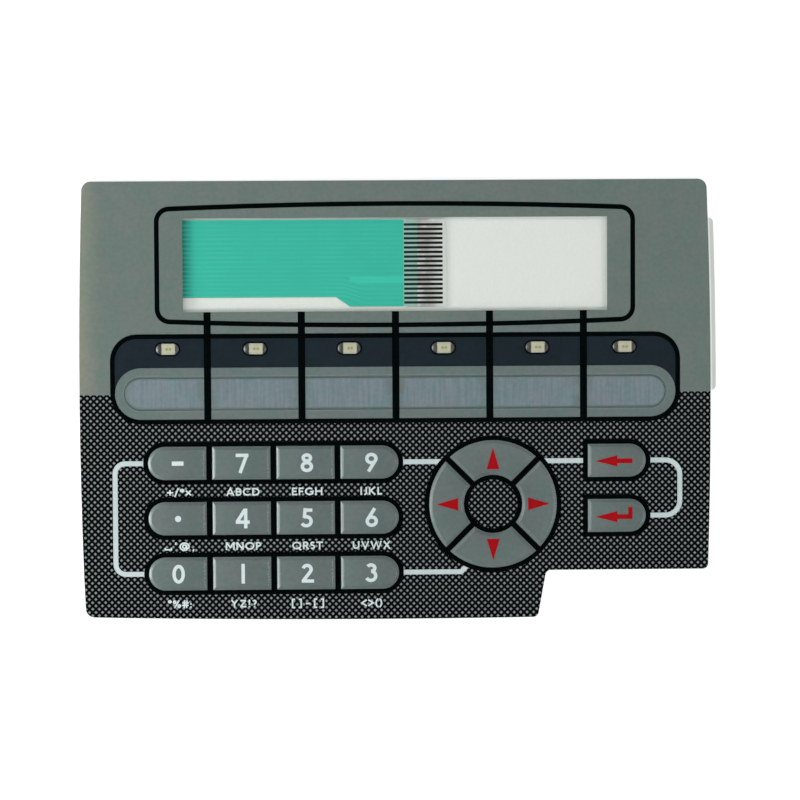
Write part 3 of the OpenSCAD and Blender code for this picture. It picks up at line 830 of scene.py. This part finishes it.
class KEYPAD_OT_layers(bpy.types.Operator):
    """Finish the sheets inside the laminate and the liner behind it"""

    bl_idname = "keypad.layers"
    bl_label = "Inner layers"

    def execute(self, context):
        for node, (finish, tint, roughness, patch) in SHEETS.items():
            dress([node], sheet_stock(finish, linear(*tint), roughness, patch))
        dress(["circuit_sheet"], circuit_film())
        dress(["release_liner"], liner_paper())
        dress(["conductor_print"], silver_print())
        dress(DOMES, dome_steel())
        return {"FINISHED"}


# Tail

# Painted shadow at the tail's root, and how the tracks lie: shares are of the contacts' pitch
ROOT_SHADE = 3.3 * MM
CONTACT_SHARE = 0.55
NARROW_RISE = 0.1
TRACK_END = 0.2 * MM
JOG_LAG = 0.25 * MM
RIDGE_SUNK = 0.002 * MM
PATCH_START = 1.6 * MM


def root_shadowed(where, tint, dark):
    """A tint with a painted shadow that darkens it towards the tail's root, where the coat lies deep under
    the panel's edge.
    """
    across = split(where)[0]
    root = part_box("tail_insulation")[0].x
    near = ramp(across, root + ROOT_SHADE, root + 0.5 * MM)
    return mixed(near, tint, (dark, dark, dark), "MULTIPLY")


def green_coat(name, tail, lightness):
    """Screened insulating lacquer: green with soft patches, a little gloss and a faint orange peel. It
    thins to a pale film where it laps over the contacts.
    """
    material, where = new_material(name)
    tint = drifting(where, shade(tail.coat, lightness), 0.05, 5 * MM)
    across = split(where)[0]
    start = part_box("tail_contacts")[0].x
    thin = ramp(across, start - 0.25 * MM, start + 0.1 * MM)
    # Painted shadow: the coat darkens towards the root, shaded by the panel's edge
    tint = root_shadowed(where, mixed(thin, tint, tail.thin), 0.55)
    peel = bump(noise(where, 0.5 * MM), 0.01 * MM, 0.35)
    painted(tint, 0.42, Specular_IOR_Level=0.2, Normal=peel)
    return material


def ridge_coat(tail):
    """The coat over a track, lighter than the coat beside it, by an amount that drifts along the tail."""
    material, where = new_material("ridge_coat")
    drift = ramp(noise(where, 9 * MM), 0.35, 0.65)
    tint = mixed(drift, shade(tail.coat, 0.99), shade(tail.coat, 1.07))
    # Painted shadow towards the root, as on the coat beside it
    painted(root_shadowed(where, tint, 0.8), 0.42, Specular_IOR_Level=0.2)
    return material


def carbon_print(tail):
    """Carbon contacts, greenish where the coat laps over them."""
    material, where = new_material("carbon_print")
    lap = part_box("tail_insulation")[1].x
    grains = noise(where, 0.06 * MM, 3.0)
    bare = mixed(grains, linear(8, 10, 10), linear(26, 28, 27))
    across = split(where)[0]
    lapped = ramp(across, lap + 0.1 * MM, lap - 0.1 * MM)
    tint = mixed(lapped, bare, shade(tail.coat, 0.055))
    rough = bump(grains, 0.005 * MM, 0.4)
    painted(tint, 0.55, Specular_IOR_Level=0.15, Normal=rough)
    return material


def track_path(row, tail):
    """The line of one track under the coat, from the tail's root to its contact. Tracks below the spare
    contact run closer together where the tail is narrow and step down to their contacts' height on a slant.
    """
    coat_low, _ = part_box("tail_insulation")
    contact_low, contact_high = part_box("tail_contacts")
    pitch = (contact_high.y - contact_low.y) / (tail.tracks - 1 + CONTACT_SHARE)
    first = contact_high.y - CONTACT_SHARE / 2 * pitch
    height = first - row * pitch
    left, right = coat_low.x + TRACK_END, contact_low.x - TRACK_END
    if row < tail.spare:
        return np.array([(left, height), (right, height)])
    below = row - tail.spare - 1
    inner = first - (tail.spare - NARROW_RISE) * pitch - below * tail.close_pitch
    start, end = (place + below * JOG_LAG for place in (tail.jog_start, tail.jog_end))
    return np.array([(left, inner), (start, inner), (end, height), (right, height)])


class KEYPAD_OT_tail(bpy.types.Operator):
    """Coat the tail, blacken its contacts and raise its tracks under the coat"""

    bl_idname = "keypad.tail"
    bl_label = "Tail"

    def execute(self, context):
        tail = context.scene.keypad_tail
        dress(["tail_insulation"], green_coat("green_coat", tail, 0.97))
        dress(["tail_contacts"], carbon_print(tail))
        floor = top("tail_insulation") - RIDGE_SUNK
        rows = [row for row in range(tail.tracks) if row != tail.spare]
        ridges = [ridge(track_path(row, tail), tail.ridge_w, floor, floor + tail.ridge_h) for row in rows]
        make_piece("coat_ridges", ridges, ridge_coat(tail))
        right, upper = track_path(tail.spare - 1, tail)[-1]
        lower = track_path(tail.spare + 1, tail)[-1, 1]
        centre_y = (upper + lower) / 2
        path = [(tail.jog_start + PATCH_START, centre_y), (right, centre_y)]
        patch = strip(path, tail.patch_w, floor, floor + tail.ridge_h / 2)
        make_piece("coat_patch", [patch], green_coat("pale_coat", tail, 1.17))
        return {"FINISHED"}


# Lamps

# How far a chip reaches below and above the face of its lamp
CHIP_SUNK = 0.01 * MM
CHIP_HIGH = 0.03 * MM


def lamp_resin(name, place, lamps):
    """A lamp's body, yellower round its two chips: the tint follows the distance from the lamp's middle."""
    material, where = new_material(name)
    inward = placed(where, (1, 1.25, 0), (-place[0], -place[1] * 1.25, 0))
    away = vector_calc("LENGTH", inward)
    tint = mixed(ramp(away, 1.35 * MM, 0.35 * MM), lamps.body, lamps.glow)
    cloudy = mixed(noise(where, 0.3 * MM), tint, lamps.body)
    painted(cloudy, 0.5, Specular_IOR_Level=0.3)
    return material


class KEYPAD_OT_lamps(bpy.types.Operator):
    """Finish the chip lamps and set two chips in each"""

    bl_idname = "keypad.lamps"
    bl_label = "Lamps"

    def execute(self, context):
        lamps = context.scene.keypad_lamps
        chips = []
        for name in LAMPS:
            place = middle(name)
            dress([name], lamp_resin(name + "_resin", place, lamps))
            face = top(name)
            for side in (-1, 1):
                centre = place[:2] + np.array([side * lamps.die_out, 0])
                chips.append(button(centre, lamps.die_d, face - CHIP_SUNK, face + CHIP_HIGH))
        chip = sheet_stock("lamp_chip", lamps.die, 0.35, 0.2 * MM, 0.12)
        make_piece("lamp_chips", chips, chip)
        return {"FINISHED"}


# Legends

# Degrees between the points of an arc
ARC_STEP = 9


def arc(x, y, across, up, start, end):
    """Points of a stretch of an ellipse from one angle to another, in degrees."""
    steps = max(2, round(abs(end - start) / ARC_STEP))
    turn = np.radians(np.linspace(start, end, steps + 1))
    return np.stack([x + across * np.cos(turn), y + up * np.sin(turn)], axis=1)


def run(*parts):
    """An open stroke through points and arcs."""
    return np.vstack([np.atleast_2d(part) for part in parts]), False


def bar(start, end, y):
    """A level stroke."""
    return run((start, y), (end, y))


def post(x):
    """An upright stroke over the full height."""
    return run((x, 0), (x, 1))


def loop(x, y, across, up):
    """A closed stroke round an ellipse."""
    return arc(x, y, across, up, 0, 360)[:-1], True


# Each sign is its width and its strokes, in units of its height, with the middle line of each stroke given
DIGITS = {
    "0": (0.67, [loop(0.335, 0.5, 0.229, 0.394)]),
    "1": (0.21, [post(0.105)]),
    "2": (0.64, [run(arc(0.295, 0.695, 0.2, 0.199, 165, -38), (0.1, 0.12)), bar(0.02, 0.64, 0.1)]),
    "3": (0.58, [run(arc(0.24, 0.735, 0.19, 0.159, 150, -88)), run(arc(0.23, 0.34, 0.244, 0.234, 88, -152))]),
    "4": (0.7, [run((0.47, 0.96), (0.09, 0.36)), bar(0.0, 0.7, 0.315), post(0.5)]),
    "5": (0.6, [bar(0.15, 0.56, 0.895), run((0.2, 1), (0.15, 0.5)),
                run(arc(0.25, 0.335, 0.244, 0.229, 118, -150))]),
    "6": (0.67, [run((0.49, 0.97), (0.14, 0.42)), loop(0.335, 0.315, 0.229, 0.209)]),
    "7": (0.66, [bar(0, 0.64, 0.895), run((0.56, 0.93), (0.21, 0))]),
    "8": (0.67, [loop(0.335, 0.742, 0.185, 0.152), loop(0.335, 0.305, 0.229, 0.199)]),
    "9": (0.67, [run((0.18, 0.03), (0.53, 0.58)), loop(0.335, 0.685, 0.229, 0.209)]),
    "minus": (0.586, [bar(0, 0.586, 0.5)]),
}

# Strokes that several letters share
STEM = post(0.1)
BOWL = run((0.1, 0.9), arc(0.28, 0.69, 0.19, 0.21, 90, -90), (0.1, 0.48))
ROUND = loop(0.45, 0.5, 0.36, 0.4)

LETTERS = {
    "A": (0.78, [run((0.06, 0), (0.39, 0.96), (0.72, 0)), bar(0.18, 0.6, 0.31)]),
    "B": (0.58, [STEM, run((0.1, 0.9), arc(0.28, 0.72, 0.18, 0.18, 90, -90), (0.1, 0.54)),
                 run((0.1, 0.54), arc(0.3, 0.32, 0.19, 0.22, 90, -90), (0.1, 0.1))]),
    "C": (0.78, [run(arc(0.46, 0.5, 0.37, 0.4, 48, 312))]),
    "D": (0.76, [STEM, run((0.1, 0.9), arc(0.28, 0.5, 0.38, 0.4, 90, -90), (0.1, 0.1))]),
    "E": (0.52, [STEM, bar(0.1, 0.5, 0.9), bar(0.1, 0.46, 0.52), bar(0.1, 0.52, 0.1)]),
    "F": (0.48, [STEM, bar(0.1, 0.48, 0.9), bar(0.1, 0.44, 0.5)]),
    "G": (0.84, [run(arc(0.46, 0.5, 0.37, 0.4, 48, 322)), bar(0.5, 0.84, 0.46),
                 run((0.75, 0.46), (0.75, 0.12))]),
    "H": (0.74, [STEM, post(0.64), bar(0.1, 0.64, 0.52)]),
    "I": (0.2, [STEM]),
    "J": (0.32, [run((0.24, 1), arc(0.07, 0.26, 0.17, 0.2, 0, -100))]),
    "K": (0.66, [STEM, run((0.6, 1), (0.16, 0.52)), run((0.22, 0.54), (0.62, 0))]),
    "L": (0.48, [STEM, bar(0.1, 0.48, 0.1)]),
    "M": (0.9, [STEM, post(0.8), run((0.13, 0.94), (0.45, 0.3), (0.77, 0.94))]),
    "N": (0.76, [STEM, post(0.66), run((0.13, 0.94), (0.63, 0.06))]),
    "O": (0.9, [ROUND]),
    "P": (0.56, [STEM, BOWL]),
    "Q": (0.92, [ROUND, run((0.5, 0.24), (0.88, -0.08))]),
    "R": (0.6, [STEM, BOWL, run((0.28, 0.48), (0.56, 0))]),
    "S": (0.5, [run(arc(0.26, 0.71, 0.16, 0.19, 35, 262), arc(0.24, 0.31, 0.17, 0.21, 82, -145))]),
    "T": (0.64, [bar(0, 0.64, 0.9), run((0.32, 0), (0.32, 0.95))]),
    "U": (0.7, [run((0.1, 1), arc(0.35, 0.36, 0.25, 0.26, 180, 360), (0.6, 1))]),
    "V": (0.74, [run((0.05, 1), (0.37, 0.06), (0.69, 1))]),
    "W": (1.06, [run((0.05, 1), (0.3, 0.06), (0.53, 0.92), (0.76, 0.06), (1.01, 1))]),
    "X": (0.68, [run((0.06, 1), (0.62, 0)), run((0.06, 0), (0.62, 1))]),
    "Y": (0.66, [run((0.05, 1), (0.33, 0.5), (0.61, 1)), run((0.33, 0), (0.33, 0.5))]),
    "Z": (0.64, [bar(0.05, 0.6, 0.9), run((0.56, 0.88), (0.09, 0.12)), bar(0.03, 0.62, 0.1)]),
    "!": (0.2, [run((0.1, 1), (0.1, 0.32)), run((0.1, 0.2), (0.1, 0))]),
    "?": (0.44, [run(arc(0.21, 0.72, 0.14, 0.18, 160, -50), (0.21, 0.46), (0.21, 0.32)),
                 run((0.21, 0.2), (0.21, 0))]),
    "+": (0.6, [bar(0, 0.6, 0.45), run((0.3, 0.1), (0.3, 0.8))]),
    "/": (0.4, [run((0.03, -0.1), (0.37, 1.05))]),
    "*": (0.44, [run((0.22, 0.46), (0.22, 0.96)), run((0.02, 0.6), (0.42, 0.82)),
                 run((0.02, 0.82), (0.42, 0.6))]),
    "x": (0.5, [run((0, 0.12), (0.5, 0.72)), run((0, 0.72), (0.5, 0.12))]),
    "_": (0.74, [run((0.08, 0.34), (0.08, 0.08), (0.66, 0.08), (0.66, 0.34))]),
    "'": (0.2, [run((0.1, 1.02), (0.1, 0.7))]),
    "@": (1.0, [loop(0.5, 0.46, 0.18, 0.22),
                run((0.7, 0.68), (0.68, 0.24), arc(0.5, 0.46, 0.42, 0.46, -25, 310))]),
    ",": (0.2, [run((0.14, 0.14), (0.06, -0.16))]),
    "^": (0.36, [loop(0.18, 0.82, 0.11, 0.13)]),
    "%": (0.76, [loop(0.16, 0.76, 0.1, 0.16), loop(0.6, 0.24, 0.1, 0.16), run((0.16, 0), (0.6, 1))]),
    "#": (0.64, [run((0.2, 0), (0.26, 1)), run((0.42, 0), (0.48, 1)), bar(0.02, 0.64, 0.66),
                 bar(0, 0.62, 0.34)]),
    ":": (0.2, [run((0.1, 0.62), (0.1, 0.42)), run((0.1, 0.2), (0.1, 0))]),
    "<": (0.56, [run((0.54, 0.86), (0.08, 0.46), (0.54, 0.06))]),
    ">": (0.56, [run((0.02, 0.86), (0.48, 0.46), (0.02, 0.06))]),
    "(": (0.3, [run(arc(0.46, 0.45, 0.36, 0.62, 118, 242))]),
    ")": (0.3, [run(arc(-0.16, 0.45, 0.36, 0.62, 62, -62))]),
    "[": (0.34, [run((0.34, 1), (0.1, 1), (0.1, -0.06), (0.34, -0.06))]),
    "]": (0.34, [run((0, 1), (0.24, 1), (0.24, -0.06), (0, -0.06))]),
    "-": (0.4, [bar(0, 0.4, 0.45)]),
}

# Rows of signs below the number keys: the signs and the width of each row in millimetres
LETTER_ROWS = (
    (("+/*x", 5.25), ("ABCD", 7.37), ("EFGH", 6.78), ("IJKL", 4.81)),
    (("_'@,", 6.56), ("MNOP", 7.87), ("QRST", 6.78), ("UVWX", 8.31)),
    (("^%#:", 5.25), ("YZ!?", 5.68), ("[]-[]", 7.2), ("<>()", 4.7)),
)
# How far each row stands below its keys' middles, and how strokes of ink lie on one another
LETTER_DROPS = (6.33 * MM, 6.08 * MM, 6.64 * MM)
INK_SUNK = 0.004 * MM
STROKE_STEP = 0.002 * MM
MINUS_BOLD = 1.26


def signs(table, text, centre, width, height, line, low, ink, wide=1.0):
    """Strips for a row of signs, spaced to fill a width round a centre. Each stroke of a sign is a little
    higher than the one before it, so that no two faces lie in one plane where strokes cross.
    """
    size = np.array([height * wide, height])
    bare = sum(table[sign][0] for sign in text) * size[0]
    gap = (width - bare) / max(1, len(text) - 1)
    corner = np.array(centre) - np.array([width if len(text) > 1 else bare, height]) / 2
    parts = []
    for sign in text:
        sign_w, strokes = table[sign]
        for level, (path, closed) in enumerate(strokes):
            high = low + ink + level * STROKE_STEP
            parts.append(strip(path * size + corner, line, low - INK_SUNK, high, closed))
        corner = corner + np.array([sign_w * size[0] + gap, 0])
    return parts


class KEYPAD_OT_digits(bpy.types.Operator):
    """Print the digits on the number keys"""

    bl_idname = "keypad.digits"
    bl_label = "Digits"

    def execute(self, context):
        legends = context.scene.keypad_legends
        low = top("print_key_grey")
        parts = []
        for column, name in (place for row in NUMBER_ROWS for place in enumerate(row)):
            offset = np.array([legends.digit_right + column * legends.digit_drift, legends.digit_up])
            centre = key_middle(name) + offset
            if name == "point":
                parts.append(button(centre, legends.point_d, low - INK_SUNK, low + legends.ink))
            else:
                line = legends.digit_line * (MINUS_BOLD if name == "minus" else 1)
                parts += signs(DIGITS, [name], centre, 0, legends.digit_h, line, low, legends.ink)
        white = plain_ink("digit_ink", context.scene.keypad_inks.legend)
        make_piece("digit_legends", parts, white)
        return {"FINISHED"}


class KEYPAD_OT_letters(bpy.types.Operator):
    """Print the rows of letters and signs below the number keys"""

    bl_idname = "keypad.letters"
    bl_label = "Letters"

    def execute(self, context):
        legends = context.scene.keypad_legends
        low = top("print_hatch")
        parts = []
        for names, rows, drop in zip(NUMBER_ROWS, LETTER_ROWS, LETTER_DROPS):
            for name, (text, width) in zip(names, rows):
                centre = key_middle(name) + np.array([legends.letter_right, -drop])
                parts += signs(LETTERS, text, centre, width * MM, legends.letter_h, legends.letter_line, low,
                               legends.ink, legends.letter_wide)
        white = plain_ink("letter_ink", context.scene.keypad_inks.legend)
        make_piece("letter_legends", parts, white)
        return {"FINISHED"}


# Turns of the ring's arrows in degrees, and measures of the command keys' arrows
ARROW_TURNS = (0, 90, 180, 270)
ARROW_POINT = 0.03 * MM
COMMAND_RISES = {"back": -0.11 * MM, "enter": -0.26 * MM}
NECK_RIGHT = 0.08 * MM
SHAFT_LAP = 1 * MM
RISER_W = 0.96 * MM
RISER_H = 2.14 * MM


def turned(points, degrees):
    """Points turned about the origin."""
    cos, sin = np.cos(np.radians(degrees)), np.sin(np.radians(degrees))
    return np.asarray(points) @ np.array([[cos, sin], [-sin, cos]])


class KEYPAD_OT_arrows(bpy.types.Operator):
    """Print the red arrows on the ring and the command keys"""

    bl_idname = "keypad.arrows"
    bl_label = "Arrows"

    def execute(self, context):
        legends = context.scene.keypad_legends
        low = top("print_key_grey") - INK_SUNK
        high = top("print_key_grey") + legends.ink
        line, end = legends.command_line, legends.command_tail
        head = np.array([(NECK_RIGHT, 0), (-legends.command_tip, 0)])
        shaft = np.array([(end, 0), (NECK_RIGHT - SHAFT_LAP, 0)])
        riser = np.array([(end - RISER_W / 2, -line / 2), (end - RISER_W / 2, RISER_H)])
        parts = []
        for turn in ARROW_TURNS:
            path = turned([(legends.arrow_in, 0), (legends.arrow_out, 0)], turn) + ring_middle()
            parts.append(strip(path, [legends.arrow_w, ARROW_POINT], low, high))
        for name, rise in COMMAND_RISES.items():
            centre = key_middle(name) + np.array([0, rise])
            parts.append(strip(head + centre, [legends.command_head, ARROW_POINT], low, high))
            if name == "enter":
                parts.append(strip(riser + centre, RISER_W, low, high + 2 * STROKE_STEP))
            parts.append(strip(shaft + centre, line, low, high + STROKE_STEP))
        red = plain_ink("red_ink", context.scene.keypad_inks.red)
        make_piece("arrow_marks", parts, red)
        return {"FINISHED"}


# Stage

# Floor and its own light, fade of the sky by height, and the camera's sensor in millimetres
FLOOR_HALF = 3.0
FLOOR_Z = -0.02 * MM
FLOOR_TINT = (0.32, 0.32, 0.32, 1)
FLOOR_GLOW = 0.76
SKY_FADE = (0.3, 0.8)
SKY_TOP = 0.012
SENSOR = 36.0

# Lights: azimuth and elevation in degrees, distance and size in metres, and the share of a power setting
LIGHTS = {
    "low_left": (187, 13.5, 0.35, (0.2, 0.075), 1, "key_power"),
    "low_right": (-6, 8, 0.2, (0.12, 0.03), 1, "rim_power"),
    "soft_left": (170, 45, 1.0, (0.6, 0.5), 0.82, "side_power"),
    "soft_right": (-15, 42, 1.0, (0.6, 0.5), 1.1, "side_power"),
    "soft_back": (95, 56, 1.2, (0.9, 0.5), 0.8, "fill_power"),
    "soft_front": (275, 56, 1.2, (0.9, 0.5), 1.2, "fill_power"),
}


def white_floor():
    """A white floor that takes the keypad's shadow. What the lights leave it short of white, it adds itself
    for the camera, mirrors and glass, and not as light on the keypad.
    """
    material, tree = empty_material("white_floor")
    path = add_node(tree, "ShaderNodeLightPath").outputs
    seen = calc("MAXIMUM", path["Is Camera Ray"], path["Is Glossy Ray"])
    seen = calc("MAXIMUM", seen, path["Is Transmission Ray"])
    lit = add_node(tree, "ShaderNodeBsdfDiffuse", {"Color": FLOOR_TINT}).outputs[0]
    strength = calc("MULTIPLY", seen, FLOOR_GLOW)
    glow = add_node(tree, "ShaderNodeEmission", {"Strength": strength}).outputs[0]
    finish_material(add_node(tree, "ShaderNodeAddShader", {0: lit, 1: glow}).outputs[0])
    return material


def surroundings(strength):
    """A studio that is bright near the horizon and dark overhead, so that the glossy face mirrors nothing
    bright.
    """
    world = bpy.data.worlds.new("studio")
    world.use_nodes = True
    tree = world.node_tree
    tree.nodes.clear()
    way = add_node(tree, "ShaderNodeTexCoord").outputs["Generated"]
    height = split(way)[2]
    fade = ramp(height, *SKY_FADE, strength, SKY_TOP)
    back = add_node(tree, "ShaderNodeBackground", {"Color": (1, 1, 1, 1), "Strength": fade}).outputs[0]
    add_node(tree, "ShaderNodeOutputWorld", {"Surface": back})
    return world


def look(place, target, up):
    """The matrix of a camera or light at a place, looking at a target with a given way up."""
    back = np.array(place, float) - np.array(target, float)
    back /= np.linalg.norm(back)
    right = np.cross(up, back)
    right /= np.linalg.norm(right)
    matrix = np.eye(4)
    matrix[:3, :3] = np.stack([right, np.cross(back, right), back], axis=1)
    matrix[:3, 3] = place
    return Matrix(matrix.tolist())


def add_light(name, azimuth, elevation, distance, size, watts):
    """A soft rectangular light that faces the keypad: its azimuth is from +X, anticlockwise."""
    light = bpy.data.lights.new(name, "AREA")
    light.shape = "RECTANGLE"
    light.size, light.size_y = size
    light.energy = watts
    around, lift = np.radians([azimuth, elevation])
    way = np.array([np.cos(lift) * np.cos(around), np.cos(lift) * np.sin(around), np.sin(lift)])
    holder = link(name, light)
    holder.matrix_world = look(way * distance, (0, 0, 0), (0, 0, 1))
    holder.visible_camera = False


class KEYPAD_OT_stage(bpy.types.Operator):
    """Set the floor, the lights, the surroundings and the camera"""

    bl_idname = "keypad.stage"
    bl_label = "Stage"

    def execute(self, context):
        scene = context.scene
        stage = scene.keypad_stage
        scene.view_settings.view_transform = "Standard"
        scene.world = surroundings(stage.sky)
        make_object("floor", [plate(FLOOR_HALF, FLOOR_Z)], white_floor())
        for name, (*placing, part, setting) in LIGHTS.items():
            add_light(name, *placing, part * getattr(stage, setting))
        camera = bpy.data.cameras.new("photo_view")
        camera.sensor_width = SENSOR
        camera.lens = SENSOR * stage.distance / stage.view_w
        holder = link("photo_view", camera)
        lean = np.array([stage.lean_x, stage.lean_y, 0])
        lean[2] = np.sqrt(1 - (lean ** 2).sum())
        target = np.array([stage.aim_x, stage.aim_y, CAD_HIGH.z])
        up = (np.sin(stage.turn), np.cos(stage.turn), 0)
        holder.matrix_world = look(target + lean * stage.distance, target, up)
        scene.camera = holder
        return {"FINISHED"}


# Sidebar and registration

OPERATORS = (
    KEYPAD_OT_stage,
    KEYPAD_OT_film,
    KEYPAD_OT_inks,
    KEYPAD_OT_layers,
    KEYPAD_OT_tail,
    KEYPAD_OT_lamps,
    KEYPAD_OT_digits,
    KEYPAD_OT_letters,
    KEYPAD_OT_arrows,
)


class KEYPAD_PT_pieces(bpy.types.Panel):
    """Pieces of the keypad and their settings"""

    bl_idname = "KEYPAD_PT_pieces"
    bl_label = "Membrane keypad"
    bl_space_type = "VIEW_3D"
    bl_region_type = "UI"
    bl_category = "Keypad"

    def draw(self, context):
        for operator in OPERATORS:
            self.layout.operator(operator.bl_idname)
        for name in SETTINGS:
            settings = getattr(context.scene, name)
            box = self.layout.box()
            for key in settings.__annotations__:
                box.prop(settings, key)


CLASSES = (*SETTINGS.values(), *OPERATORS, KEYPAD_PT_pieces)


def register():
    for kind in CLASSES:
        bpy.utils.register_class(kind)
    for name, kind in SETTINGS.items():
        setattr(bpy.types.Scene, name, PointerProperty(type=kind))


def unregister():
    for name in SETTINGS:
        delattr(bpy.types.Scene, name)
    for kind in reversed(CLASSES):
        bpy.utils.unregister_class(kind)


def write_sizes():
    """Updates the view layer."""
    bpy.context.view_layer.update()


def main():
    register()
    bpy.ops.keypad.stage()
    bpy.ops.keypad.film()
    bpy.ops.keypad.inks()
    bpy.ops.keypad.layers()
    bpy.ops.keypad.tail()
    bpy.ops.keypad.lamps()
    bpy.ops.keypad.digits()
    bpy.ops.keypad.letters()
    bpy.ops.keypad.arrows()
    write_sizes()


if __name__ == "__main__":
    main()
